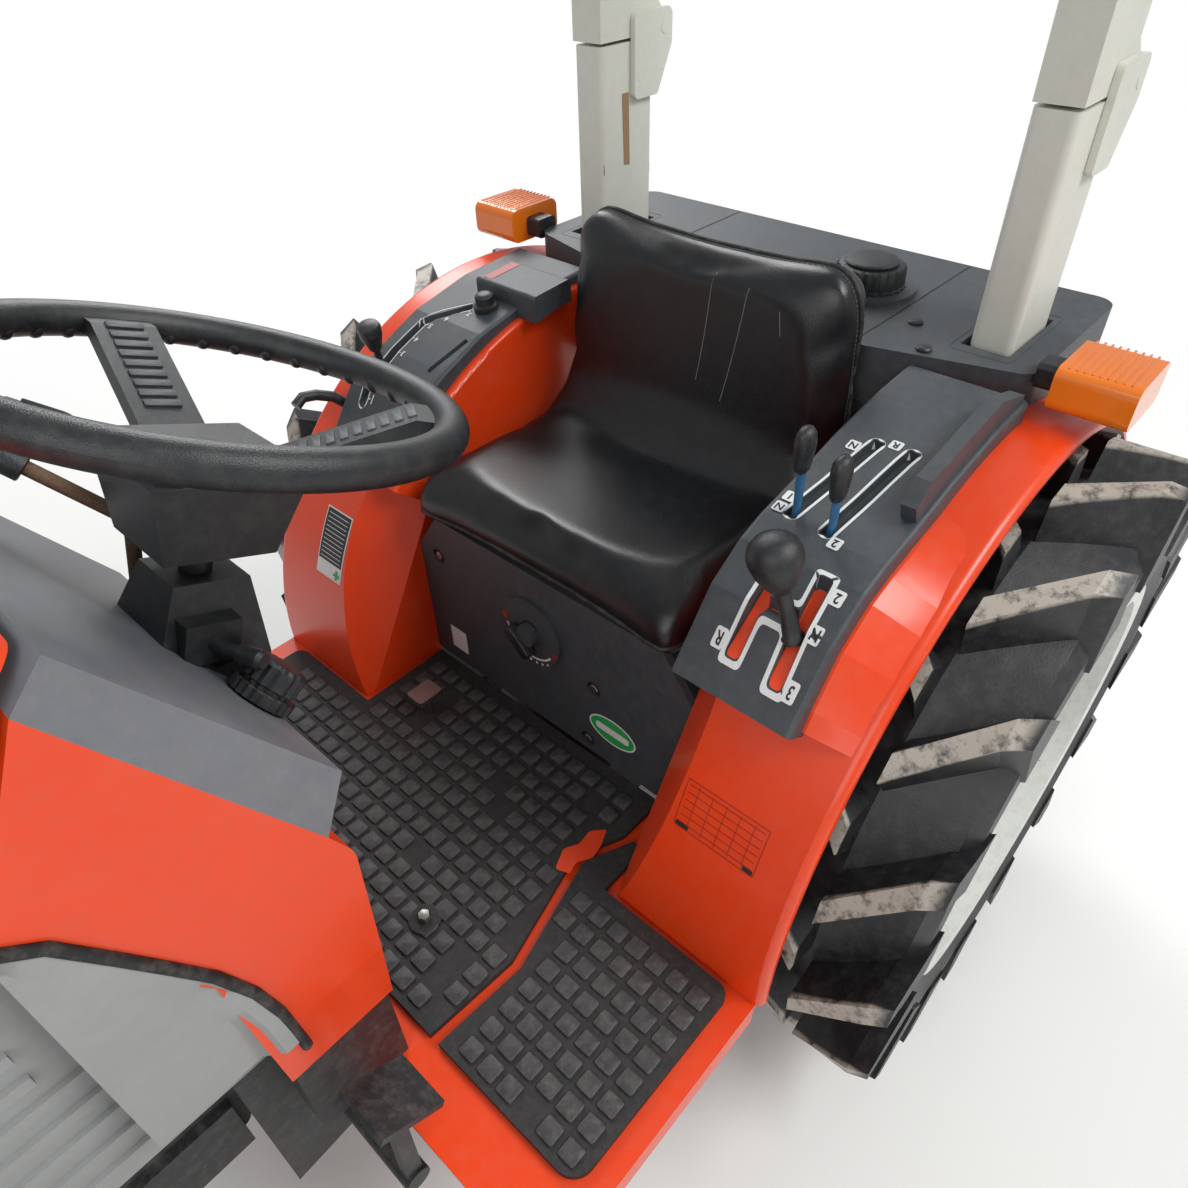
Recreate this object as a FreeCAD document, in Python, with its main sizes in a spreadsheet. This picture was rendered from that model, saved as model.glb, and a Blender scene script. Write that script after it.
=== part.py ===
"""Compact four-wheel-drive farm tractor with an open operator's station.

Millimetres. X points forward, Y to the driver's left and Z up. The sizes are written from
the rear axle: X is measured from its centre line, Z from the ground. Every sub-part carries
the same Placement, which moves the origin under the middle of the tractor's overall box.
"""
import FreeCAD, Part
import math
import os
import Sketcher

V = FreeCAD.Vector
DOC = FreeCAD.newDocument("compact_tractor")

# Driving dimensions: alias, value, what it is
SIZES = [
    ("wheelbase", 1420, "rear axle to front axle"),
    ("nose_reach", 350, "front axle to the front hitch plate's face"),
    ("tail_reach", 660, "rear axle to the lower links' ends"),
    ("fit_gap", 0.3, "gap between curved faces that meet"),
    ("running_gap", 0.05, "radial gap of a shaft in its bore"),
    ("move_gap", 6, "gap between pieces that move past each other"),
    ("sheet_wall", 4, "sheet metal of fenders and hood"),
    # rear wheels
    ("rear_tyre_radius", 440, "rear tyre over its lugs"),
    ("rear_tyre_width", 204, "rear tyre's section width"),
    ("rear_wheel_y", 455, "middle of the rear tyre from the centre line"),
    ("rear_lug_height", 45, "rear lug above the carcass"),
    ("rear_lug_width", 32, "rear lug's top"),
    ("rear_lug_count", 16, "lugs on each side of a rear tyre"),
    ("rear_bead_radius", 266, "rear rim's bead seat"),
    ("rear_flange_radius", 285, "rear rim's edge"),
    ("rear_disc_y", 410, "rear wheel disc's inner face"),
    ("rear_hub_radius", 95, "rear axle flange"),
    ("rear_shaft_radius", 25, "rear axle shaft"),
    ("axle_tube_radius", 58, "rear axle housing tube"),
    ("axle_tube_root", 160, "tube's inner end from the centre line"),
    ("axle_tube_tip", 380, "tube's outer end from the centre line"),
    # front wheels and steering
    ("front_tyre_radius", 290, "front tyre over its lugs"),
    ("front_tyre_width", 152, "front tyre's section width"),
    ("front_wheel_y", 405, "middle of the front tyre from the centre line"),
    ("front_lug_height", 24, "front lug above the carcass"),
    ("front_lug_width", 22, "front lug's top"),
    ("front_lug_count", 14, "lugs on each side of a front tyre"),
    ("front_bead_radius", 152, "front rim's bead seat"),
    ("front_flange_radius", 166, "front rim's edge"),
    ("front_disc_y", 376, "front wheel disc's inner face"),
    ("front_hub_radius", 62, "front hub flange"),
    ("front_shaft_radius", 20, "front hub's stub shaft"),
    ("kingpin_y", 285, "kingpin from the centre line"),
    ("kingpin_radius", 22, "kingpin"),
    ("kingpin_case_radius", 44, "final drive case round the kingpin"),
    ("kingpin_low", 208, "kingpin's lower end above the ground"),
    ("kingpin_high", 330, "underside of the axle beam's end"),
    ("beam_depth", 60, "axle beam's height"),
    ("beam_half_width", 36, "axle beam's half width fore and aft"),
    ("steering_arm", 130, "kingpin to tie rod, fore and aft"),
    ("tie_rod_z", 225, "tie rod above the ground"),
    ("tie_rod_radius", 9, "tie rod"),
    ("tie_eye_half", 11, "half height of the tie rod's eyes"),
    # backbone
    ("engine_rear", 900, "clutch housing's joint with the engine"),
    ("engine_setback", 60, "engine's front face behind the front axle"),
    ("engine_half", 105, "engine's half width"),
    ("engine_low", 380, "engine's underside"),
    ("engine_high", 745, "engine's top"),
    ("rail_thick", 12, "frame rail plate"),
    ("rail_low", 366, "frame rails' lower edge"),
    ("rail_high", 452, "frame rails' upper edge"),
    ("case_half", 95, "gearbox's half width"),
    ("case_low", 285, "gearbox's underside"),
    ("case_mid_high", 396, "gearbox's top under the floor"),
    ("case_rise", 160, "gearbox's top under the seat, above the rear axle"),
    ("case_tail", 165, "gearbox's rear face behind the rear axle"),
    ("bell_half", 145, "clutch housing's half width"),
    ("bell_high", 610, "clutch housing's top"),
    # floor and fenders
    ("floor_top", 435, "floor sheet's upper face"),
    ("floor_sheet", 6, "floor sheet"),
    ("floor_front", 800, "floor's front edge"),
    ("floor_half", 440, "floor's half width"),
    ("floor_skirt", 34, "floor's downturned edge"),
    ("mat_thick", 9, "rubber mat without its blocks"),
    ("fender_clear", 30, "fender's radius beyond the tyre's"),
    ("fender_shift", 10, "middle of the fender's arch in front of the rear axle"),
    ("fender_drop", 5, "middle of the fender's arch below the rear axle"),
    ("fender_inner", 240, "fender's inner wall from the centre line"),
    ("fender_outer", 447, "fender's outer edge from the centre line"),
    ("fender_lip", 12, "fender's downturned lip"),
    ("fender_hole", 120, "radius of the inner wall's cut-out round the axle"),
    ("fender_sweep", 148, "fender's arc from the floor, in degrees"),
    ("fender_round", 10, "fender's rounded outer edge"),
    # seat
    ("seat_half", 215, "seat's half width"),
    ("seat_front", 372, "seat's front edge"),
    ("seat_crease", 62, "crease between cushion and backrest"),
    ("seat_low", 706, "seat's underside"),
    ("seat_high", 778, "cushion's top"),
    ("seat_back_high", 1040, "backrest's top"),
    ("seat_back_rear", 0, "backrest's rear face"),
    ("panel_x", 344, "panel under the seat, front face"),
    ("panel_thick", 10, "panel under the seat"),
    ("pillar_half", 150, "seat pillar's half width"),
    # consoles on the fenders
    ("console_in", 250, "consoles' inner face from the centre line"),
    ("console_out", 388, "consoles' outer face from the centre line"),
    ("slot_deep", 10, "depth of the gates in the consoles"),
    ("lever_radius", 5, "lever rods"),
    # rear cover and rollover bar
    ("cover_front", -12, "rear cover's front edge"),
    ("cover_rear", -320, "rear cover's rear edge"),
    ("cover_half", 376, "rear cover's half width"),
    ("cover_rise", 33, "rear cover's top above the fenders"),
    ("cover_deep", 138, "rear cover's height between the fenders"),
    ("cap_x", -165, "fuel cap's centre"),
    ("cap_y", 117, "fuel cap's centre from the centre line"),
    ("cap_radius", 46, "fuel cap"),
    ("post_y", 308, "rollover posts from the centre line"),
    ("post_wide", 50, "rollover tube across"),
    ("post_front", -100, "rollover tube's front face"),
    ("post_rear", -210, "rollover tube's rear face"),
    ("post_round", 10, "rollover tube's rounded corners"),
    ("post_drop", 44, "posts' lower end below the rear axle"),
    ("fold_z", 1190, "fold joint above the ground"),
    ("hoop_high", 1990, "rollover bar's top"),
    ("hoop_round", 120, "rollover bar's upper corners"),
    ("fold_pin_radius", 8, "fold joint's pin"),
    # steering column and dashboard
    ("dash_low_x", 725, "dashboard's lower edge"),
    ("dash_low_z", 855, "dashboard's lower edge above the ground"),
    ("dash_high_x", 855, "dashboard's upper edge"),
    ("dash_high_z", 1066, "dashboard's upper edge above the ground"),
    ("dash_band", 52, "height of the dashboard's side band"),
    ("dash_half_low", 200, "cowl's half width at its foot"),
    ("dash_half_high", 168, "cowl's half width at its top"),
    ("cowl_wall", 40, "cowl's side wall, foot to inside"),
    ("column_x", 738, "steering column's foot on the dashboard"),
    ("column_z", 890, "steering column's foot above the ground"),
    ("column_tilt", 22.5, "steering column's lean to the rear, in degrees"),
    ("column_length", 217, "column's foot to the steering wheel's middle"),
    ("cover_length", 66, "column cover above its foot"),
    ("wheel_radius", 196, "steering wheel over its rim"),
    ("wheel_tube", 14.5, "steering wheel rim's tube radius"),
    ("steering_shaft_radius", 13, "steering shaft"),
    # hood and side covers
    ("hood_half", 168, "hood's half width"),
    ("hood_low", 903, "hood sides' lower edge"),
    ("hood_top_front", 990, "hood's top at its nose"),
    ("hood_nose", 1735, "hood's front face"),
    ("nose_low", 560, "grille's lower edge"),
    ("nose_rear", 1530, "rear edge of the hood's nose"),
    ("hood_gap", 8, "gap between dashboard and hood"),
    ("grille_bars", 9, "bars of the front grille"),
    ("rib_pitch", 34, "pitch of the side covers' ribs"),
    ("side_cover_half", 156, "side covers' outer face from the centre line"),
    ("side_cover_low", 552, "side covers' lower edge"),
    # rear linkage
    ("link_x", -95, "lower links' pivot"),
    ("link_drop", 110, "lower links' pivot below the rear axle"),
    ("link_y", 176, "lower links from the centre line"),
    ("link_thick", 14, "lower links' plate"),
    ("link_eye_radius", 11, "lower links' ball bores"),
    ("lift_arm", 235, "lift arm and link pivot to lift rod"),
    ("lift_rise", 302, "lift arms' shaft above the link pivots"),
    ("drawbar_reach", 215, "drawbar's pin hole behind the gearbox"),
    ("drawbar_pin_radius", 11, "drawbar's pin hole"),
    ("pto_radius", 17.5, "power take-off shaft"),
    ("pto_drop", 55, "power take-off shaft below the rear axle"),
]

SHEET = DOC.addObject("Spreadsheet::Sheet", "d")
for row, (alias, number, meaning) in enumerate(SIZES, start=1):
    SHEET.set("A%d" % row, meaning)
    SHEET.set("B%d" % row, str(number))
    SHEET.setAlias("B%d" % row, alias)
DOC.recompute()

SHIFT = "(d.tail_reach - d.nose_reach - d.wheelbase) / 2"
ENGINE_FRONT = "(d.wheelbase - d.engine_setback)"
CASE_TOP = "(d.rear_tyre_radius + d.case_rise)"
ARCH_X = "d.fender_shift"
ARCH_Z = "(d.rear_tyre_radius - d.fender_drop)"
ARCH_R = "(d.rear_tyre_radius + d.fender_clear)"
COVER_TOP = "(%s + %s + d.cover_rise)" % (ARCH_Z, ARCH_R)
COVER_LOW = "(%s - d.cover_deep)" % COVER_TOP
POST_LOW = "(d.rear_tyre_radius - d.post_drop)"
LINK_Z = "(d.rear_tyre_radius - d.link_drop)"
PTO_Z = "(d.rear_tyre_radius - d.pto_drop)"
SIDES = (("left", 1), ("right", -1))
PLANE_SIGN = {"XY_Plane": 1, "YZ_Plane": 1, "XZ_Plane": -1}
NODES = []


def size(text):
    """Value of an expression over the sheet's aliases, written d.alias."""
    return float(SHEET.evalExpression(str(text)))


def new_body(name):
    """An empty body that becomes the sub-part NAME."""
    body = DOC.addObject("PartDesign::Body", name)
    body.Label = name
    body.AllowCompound = True
    body.setExpression("Placement.Base.x", SHIFT)
    NODES.append(body)
    return body


def new_feature(name, shape):
    """A sub-part whose form is made from the sheet's sizes with Part's own operations."""
    feature = DOC.addObject("Part::Feature", name)
    feature.Label = name
    feature.Shape = shape
    shift = FreeCAD.Placement(V(size(SHIFT), 0, 0), FreeCAD.Rotation())
    feature.Placement = shift.multiply(shape.Placement)
    NODES.append(feature)
    return feature


def rounded(corners):
    """Straight runs and corner arcs of an outline.

    Each corner is (x, y) or (x, y, radius). Returns a list with, for each corner, its point,
    where the outline enters and leaves it, and the centre of its arc or None.
    """
    points = [V(size(corner[0]), size(corner[1]), 0) for corner in corners]
    result = []
    for index, corner in enumerate(corners):
        point = points[index]
        if len(corner) < 3:
            result.append((point, point, point, None))
            continue
        back = (points[index - 1] - point).normalize()
        ahead = (points[(index + 1) % len(points)] - point).normalize()
        half = back.getAngle(ahead) / 2
        radius = size(corner[2])
        reach = radius / math.tan(half)
        centre = point + (back + ahead).normalize() * (radius / math.sin(half))
        result.append((point, point + back * reach, point + ahead * reach, centre))
    return result


def flat_face(corners, place):
    """Plane face of an outline in x and y, moved by a placement."""
    turns = rounded(corners)
    edges = []
    for index, (point, enter, leave, centre) in enumerate(turns):
        if centre is not None:
            middle = centre + (point - centre).normalize() * (enter - centre).Length
            edges.append(Part.Arc(enter, middle, leave).toShape())
        following = turns[(index + 1) % len(turns)][1]
        if (following - leave).Length > 1e-6:
            edges.append(Part.LineSegment(leave, following).toShape())
    face = Part.Face(Part.Wire(edges))
    face.Placement = place
    return face


UPRIGHT = FreeCAD.Rotation(V(1, 0, 0), 90)
ACROSS = FreeCAD.Rotation(V(1, 1, 1), 120)


def side_prism(corners, low, high):
    """Prism of an outline in X and Z between two values of Y."""
    face = flat_face(corners, FreeCAD.Placement(V(0, size(low), 0), UPRIGHT))
    return face.extrude(V(0, size(high) - size(low), 0))


def front_prism(corners, low, high):
    """Prism of an outline in Y and Z between two values of X."""
    face = flat_face(corners, FreeCAD.Placement(V(size(low), 0, 0), ACROSS))
    return face.extrude(V(size(high) - size(low), 0, 0))


def new_sketch(body, plane, offset, across="0", along="0"):
    """Sketch on one of the body's origin planes, moved out by an offset."""
    sketch = body.newObject("Sketcher::SketchObject", body.Name + "_sketch")
    base = [item for item in body.Origin.OriginFeatures if item.Role == plane][0]
    sketch.AttachmentSupport = [(base, "")]
    sketch.MapMode = "FlatFace"
    sketch.setExpression("AttachmentOffset.Base.x", str(across))
    sketch.setExpression("AttachmentOffset.Base.y", str(along))
    sketch.setExpression("AttachmentOffset.Base.z", str(offset))
    return sketch


def bind_point(sketch, geometry, end, x, y):
    """Ties one point of a sketch to two expressions."""
    for kind, text in (("DistanceX", x), ("DistanceY", y)):
        index = sketch.addConstraint(Sketcher.Constraint(kind, -1, 1, geometry, end, size(text)))
        sketch.setExpression("Constraints[%d]" % index, str(text))


def draw_outline(sketch, corners):
    """Closed outline whose corners, and corner radii, follow their expressions."""
    turns = rounded(corners)
    count = len(turns)
    lines = []
    for index in range(count):
        leave = turns[index][2]
        enter = turns[(index + 1) % count][1]
        lines.append(sketch.addGeometry(Part.LineSegment(leave, enter), False))
    for index, corner in enumerate(corners):
        point, enter, leave, centre = turns[index]
        before = lines[index - 1]
        after = lines[index]
        if centre is None:
            sketch.addConstraint(Sketcher.Constraint("Coincident", before, 2, after, 1))
            bind_point(sketch, after, 1, corner[0], corner[1])
            continue
        radius = (enter - centre).Length
        turns_left = (point - enter).cross(leave - point).z > 0
        first, last = (enter, leave) if turns_left else (leave, enter)
        start = math.atan2(first.y - centre.y, first.x - centre.x)
        stop = math.atan2(last.y - centre.y, last.x - centre.x)
        circle = Part.Circle(centre, V(0, 0, 1), radius)
        arc = sketch.addGeometry(Part.ArcOfCircle(circle, start, stop), False)
        begin, end = (1, 2) if turns_left else (2, 1)
        sketch.addConstraint(Sketcher.Constraint("Tangent", before, 2, arc, begin))
        sketch.addConstraint(Sketcher.Constraint("Tangent", after, 1, arc, end))
        index_of = sketch.addConstraint(Sketcher.Constraint("Radius", arc, radius))
        sketch.setExpression("Constraints[%d]" % index_of, str(corner[2]))
        mark = sketch.addGeometry(Part.Point(point), True)
        sketch.addConstraint(Sketcher.Constraint("PointOnObject", mark, 1, before))
        sketch.addConstraint(Sketcher.Constraint("PointOnObject", mark, 1, after))
        bind_point(sketch, mark, 1, corner[0], corner[1])


def draw_circle(sketch, x, y, radius):
    """Circle whose middle and radius follow their expressions."""
    centre = V(size(x), size(y), 0)
    circle = sketch.addGeometry(Part.Circle(centre, V(0, 0, 1), size(radius)), False)
    bind_point(sketch, circle, 3, x, y)
    index = sketch.addConstraint(Sketcher.Constraint("Radius", circle, size(radius)))
    sketch.setExpression("Constraints[%d]" % index, str(radius))


def thicken(body, sketch, low, high, cut):
    """Pad, or pocket, of a sketch that fills the stretch between two offsets."""
    kind = "PartDesign::Pocket" if cut else "PartDesign::Pad"
    feature = body.newObject(kind, body.Name + ("_pocket" if cut else "_pad"))
    feature.Profile = sketch
    feature.Length = size(high) - size(low)
    feature.setExpression("Length", "(%s) - (%s)" % (high, low))
    if cut:
        feature.Reversed = True
    body.Tip = feature
    return feature


def start_of(plane, low, high):
    """Sketch offset from which a pad along the plane's normal fills low to high."""
    return str(low) if PLANE_SIGN[plane] > 0 else "-(%s)" % high


def slab(body, plane, corners, low, high, cut=False):
    """Outline on a plane, filled or cut between two values of the third axis."""
    sketch = new_sketch(body, plane, start_of(plane, low, high))
    draw_outline(sketch, corners)
    return thicken(body, sketch, low, high, cut)


def rod(body, plane, x, y, radius, low, high, cut=False):
    """Round bar, or bore, between two values of the third axis."""
    sketch = new_sketch(body, plane, start_of(plane, low, high))
    draw_circle(sketch, x, y, radius)
    return thicken(body, sketch, low, high, cut)


def turned(body, corners, across, along, offset, cut=False):
    """Profile of (Y, radius) corners turned about an axis that runs along Y."""
    sketch = new_sketch(body, "YZ_Plane", offset, across, along)
    draw_outline(sketch, corners)
    kind = "PartDesign::Groove" if cut else "PartDesign::Revolution"
    feature = body.newObject(kind, body.Name + "_turned")
    feature.Profile = sketch
    feature.ReferenceAxis = (sketch, ["H_Axis"])
    feature.Angle = 360
    body.Tip = feature
    return feature


def box_corners(x_low, x_high, y_low, y_high, radius=None):
    """Four corners of a rectangle, rounded when a radius is given."""
    corners = [(x_low, y_low), (x_high, y_low), (x_high, y_high), (x_low, y_high)]
    if radius is not None:
        corners = [corner + (radius,) for corner in corners]
    return corners


def mirrored(low, high, sign):
    """A stretch of Y on the left, or its mirror image on the right."""
    if sign > 0:
        return str(low), str(high)
    return "-(%s)" % high, "-(%s)" % low


# Running gear

def tyre(prefix, lug_run, lug_drop):
    """Tyre with two rows of slanting lugs, its axis along Y, its middle at the origin."""
    outer = size("d.%s_tyre_radius" % prefix)
    half = size("d.%s_tyre_width" % prefix) / 2
    bead = size("d.%s_bead_radius + d.fit_gap" % prefix)
    edge = size("d.%s_flange_radius + 1 + d.fit_gap" % prefix)
    height = size("d.%s_lug_height" % prefix)
    wide = size("d.%s_lug_width" % prefix)
    count = int(size("d.%s_lug_count" % prefix))
    crown = outer - height
    seat = half * 0.84
    side = [(seat, bead), (seat, edge), (half * 0.98, edge + (crown - edge) * 0.35),
            (half * 0.97, edge + (crown - edge) * 0.62), (half * 0.84, crown - height * 0.45)]
    profile = [V(0, y, r) for y, r in side] + [V(0, 0, crown)]
    profile += [V(0, -y, r) for y, r in reversed(side)]
    profile.append(profile[0])
    carcass = Part.Face(Part.makePolygon(profile)).revolve(V(0, 0, 0), V(0, 1, 0), 360)
    sink = height * 0.5
    stations = [(half * 0.03, 0, outer, crown - sink),
                (half * 0.80, lug_run * 0.86, outer - height * 0.06, crown - height * 0.9 - sink),
                (half * 1.02, lug_run, outer - height * 0.22, crown - lug_drop - sink)]
    lugs = []
    for hand in (1, -1):
        for index in range(count):
            turn = 360 * (index + (0.25 if hand > 0 else 0.75)) / count
            sections = []
            for y, run, high, low in stations:
                corners = [V(-wide * 0.5, y * hand, high), V(wide * 0.5, y * hand, high),
                           V(wide * 1.1, y * hand, low), V(-wide * 1.1, y * hand, low)]
                section = Part.makePolygon(corners + corners[:1])
                section.rotate(V(0, 0, 0), V(0, 1, 0), turn - math.degrees(run / outer))
                sections.append(section)
            lugs.append(Part.makeLoft(sections, True, True))
    return carcass.multiFuse(lugs)


def place_wheel(shape, x, y, z):
    """Copy of a wheel moved to its axle."""
    moved = shape.copy()
    moved.translate(V(size(x), size(y), size(z)))
    return moved


def rim_barrel(prefix, drop, flat, run):
    """Rolled barrel in (Y, radius): flanges, bead seats and a drop well between them."""
    bead = "d.%s_bead_radius" % prefix
    flange = "d.%s_flange_radius" % prefix
    seat = "0.84 * d.%s_tyre_width / 2 + d.fit_gap" % prefix
    well = "%s - %d" % (bead, drop)
    half = [(str(flat - run), well), (str(flat), bead), (seat, bead), (seat + " + 2", flange),
            (seat + " + 8", flange + " + 1"), (seat + " + 6", bead + " - 6"),
            (str(flat + 4), bead + " - 6"), (str(flat + 4 - run), well + " - 6")]
    return half + [("-(%s)" % y, radius) for y, radius in reversed(half)]


def wheels():
    """Tyres and rims: each rim is one turning of barrel, disc, hub and axle shaft."""
    rear_tyre = tyre("rear", 96, 46)
    front_tyre = tyre("front", 62, 30)
    for side, sign in SIDES:
        y = "%d * d.rear_wheel_y" % sign
        new_feature("rear_tyre_" + side, place_wheel(rear_tyre, "0", y, "d.rear_tyre_radius"))
        rim = new_body("rear_rim_" + side)
        well = "d.rear_bead_radius - 26"
        barrel = rim_barrel("rear", 26, 44, 8)
        turned(rim, barrel, y, "d.rear_tyre_radius", "0")
        face = "d.rear_disc_y - d.rear_wheel_y"
        disc = [(face, "d.rear_hub_radius + 40"), ("-20", well + " - 5"), ("-12", well + " - 5"),
                (face + " + 8", "d.rear_hub_radius + 38"), (face + " + 8", "d.rear_hub_radius"),
                (face + " + 8", "46"), (face + " + 40", "40"), (face + " + 40", "0"),
                ("d.axle_tube_tip - 90 - d.rear_wheel_y", "0"),
                ("d.axle_tube_tip - 90 - d.rear_wheel_y", "d.rear_shaft_radius"),
                (face + " - 16", "d.rear_shaft_radius"), (face + " - 16", "d.rear_hub_radius"),
                (face, "d.rear_hub_radius")]
        hand = [("%d * (%s)" % (sign, corner[0]), corner[1]) for corner in disc]
        turned(rim, hand, y, "d.rear_tyre_radius", "0")
    for side, sign in SIDES:
        y = "%d * d.front_wheel_y" % sign
        middle = "d.front_tyre_radius"
        new_feature("front_tyre_" + side, place_wheel(front_tyre, "d.wheelbase", y, middle))
        rim = new_body("front_rim_" + side)
        well = "d.front_bead_radius - 12"
        barrel = rim_barrel("front", 12, 30, 6)
        turned(rim, barrel, y, middle, "d.wheelbase")
        face = "d.front_disc_y - d.front_wheel_y"
        root = "d.kingpin_y + d.kingpin_radius + 4 - d.front_wheel_y"
        disc = [(face, "d.front_hub_radius + 24"), ("8", well + " - 4"), ("14", well + " - 4"),
                (face + " + 7", "d.front_hub_radius + 22"), (face + " + 7", "32"), (face + " + 34", "28"),
                (face + " + 34", "0"), (root, "0"), (root, "d.front_shaft_radius"),
                (face + " - 12", "d.front_shaft_radius"), (face + " - 12", "d.front_hub_radius"),
                (face, "d.front_hub_radius")]
        hand = [("%d * (%s)" % (sign, corner[0]), corner[1]) for corner in disc]
        turned(rim, hand, y, middle, "d.wheelbase")


def steering_gear():
    """Final drive cases that turn on the kingpins, and the tie rod behind the axle."""
    for side, sign in SIDES:
        body = new_body("knuckle_" + side)
        y = "%d * d.kingpin_y" % sign
        rod(body, "XY_Plane", "d.wheelbase", y, "d.kingpin_case_radius",
            "d.kingpin_low - 4", "d.kingpin_high - d.fit_gap")
        low, high = mirrored("d.kingpin_y", "d.front_disc_y - 12 - d.move_gap", sign)
        rod(body, "XZ_Plane", "d.wheelbase", "d.front_tyre_radius", "38", low, high)
        arm = [("d.wheelbase - d.steering_arm - 18", y + " - 16", "12"),
               ("d.wheelbase", y + " - 30"), ("d.wheelbase", y + " + 30"),
               ("d.wheelbase - d.steering_arm - 18", y + " + 16", "12")]
        slab(body, "XY_Plane", arm, "d.kingpin_low - 4", "d.tie_rod_z - d.tie_eye_half - d.fit_gap")
        rod(body, "XY_Plane", "d.wheelbase", y, "d.kingpin_radius + d.running_gap",
            "d.kingpin_low - 1", "d.kingpin_high", cut=True)
        tip, root = "d.front_disc_y", "d.kingpin_y + d.kingpin_radius + 2"
        low, high = mirrored(root, tip, sign)
        rod(body, "XZ_Plane", "d.wheelbase", "d.front_tyre_radius",
            "d.front_shaft_radius + d.running_gap", low, high, cut=True)
        rod(body, "XY_Plane", "d.wheelbase - d.steering_arm", y, "6.05",
            "d.kingpin_low - 5", "d.tie_rod_z", cut=True)
    body = new_body("tie_rod")
    x = "d.wheelbase - d.steering_arm"
    rod(body, "XZ_Plane", x, "d.tie_rod_z", "d.tie_rod_radius", "-d.kingpin_y", "d.kingpin_y")
    for side, sign in SIDES:
        y = "%d * d.kingpin_y" % sign
        rod(body, "XY_Plane", x, y, "15", "d.tie_rod_z - d.tie_eye_half", "d.tie_rod_z + d.tie_eye_half")
        rod(body, "XY_Plane", x, y, "6", "d.kingpin_low - 4", "d.tie_rod_z")


def front_axle():
    """Cast axle beam that hangs on its pivot, with a kingpin under each end."""
    body = new_body("front_axle_beam")
    top = "d.kingpin_high + d.beam_depth"
    low = "d.kingpin_high"
    belly, bridge = "d.case_low - 30", "d.rail_low - 10"
    beam = [("-d.kingpin_y", low), ("-160", low), ("-70", belly, "30"), ("70", belly, "30"),
            ("160", low), ("d.kingpin_y", low), ("d.kingpin_y", top + " - 14"),
            ("90", bridge, "40"), ("-90", bridge, "40"), ("-d.kingpin_y", top + " - 14")]
    front, rear = "d.wheelbase + d.beam_half_width", "d.wheelbase - d.beam_half_width"
    slab(body, "YZ_Plane", beam, rear, front)
    rod(body, "YZ_Plane", "0", "d.case_low + 15", "34", rear + " - 14", front + " + 14")
    rod(body, "YZ_Plane", "0", "d.case_low + 15", "20", rear + " - 52", front + " + 52")
    for side, sign in SIDES:
        y = "%d * d.kingpin_y" % sign
        rod(body, "XY_Plane", "d.wheelbase", y, "d.kingpin_case_radius", low, top + " - 8")
        rod(body, "XY_Plane", "d.wheelbase", y, "d.kingpin_radius", "d.kingpin_low", low + " + 1")


def backbone():
    """Engine, clutch housing and gearbox, which carry the whole tractor."""
    body = new_body("engine_block")
    slab(body, "XZ_Plane", box_corners("d.engine_rear", ENGINE_FRONT, "d.engine_low", "d.engine_high", "14"),
         "-d.engine_half", "d.engine_half")
    sump_low, sump_top = "d.engine_low - 46", "d.engine_low + 1"
    sump = [("d.engine_rear + 40", sump_top), ("d.engine_rear + 60", sump_low, "16"),
            (ENGINE_FRONT + " - 90", sump_low, "16"), (ENGINE_FRONT + " - 60", sump_top)]
    slab(body, "XZ_Plane", sump, "-d.engine_half + 22", "d.engine_half - 22")

    body = new_body("gearbox_case")
    spine = [("-d.case_tail", "d.case_low + 20", "20"), ("d.engine_rear - 90", "d.case_low", "20"),
             ("d.engine_rear - 70", "d.case_mid_high"), ("d.panel_x - d.panel_thick - 6", "d.case_mid_high"),
             ("d.panel_x - d.panel_thick - 70", CASE_TOP, "24"), ("-d.case_tail", CASE_TOP, "24")]
    slab(body, "XZ_Plane", spine, "-d.case_half", "d.case_half")
    bell = [("d.engine_rear - 90", "d.case_low"), ("d.engine_rear", "d.case_low - 10"),
            ("d.engine_rear", "d.bell_high"), ("d.engine_rear - 60", "d.bell_high", "26"),
            ("d.engine_rear - 90", "d.case_mid_high")]
    slab(body, "XZ_Plane", bell, "-d.bell_half", "d.bell_half")
    axle = "d.rear_tyre_radius"
    slab(body, "XZ_Plane", box_corners("-112", "112", axle + " - 105", axle + " + 105", "36"),
         "-d.axle_tube_root", "d.axle_tube_root")

    body = new_body("rear_axle_tubes")
    for side, sign in SIDES:
        low, high = mirrored("d.axle_tube_root", "d.axle_tube_root + 16", sign)
        rod(body, "XZ_Plane", "0", axle, "d.axle_tube_radius + 34", low, high)
        low, high = mirrored("d.axle_tube_root", "d.axle_tube_tip", sign)
        rod(body, "XZ_Plane", "0", axle, "d.axle_tube_radius", low, high)
        low, high = mirrored("d.axle_tube_tip - 92", "d.axle_tube_tip + 1", sign)
        rod(body, "XZ_Plane", "0", axle, "d.rear_shaft_radius + d.running_gap", low, high, cut=True)


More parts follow.
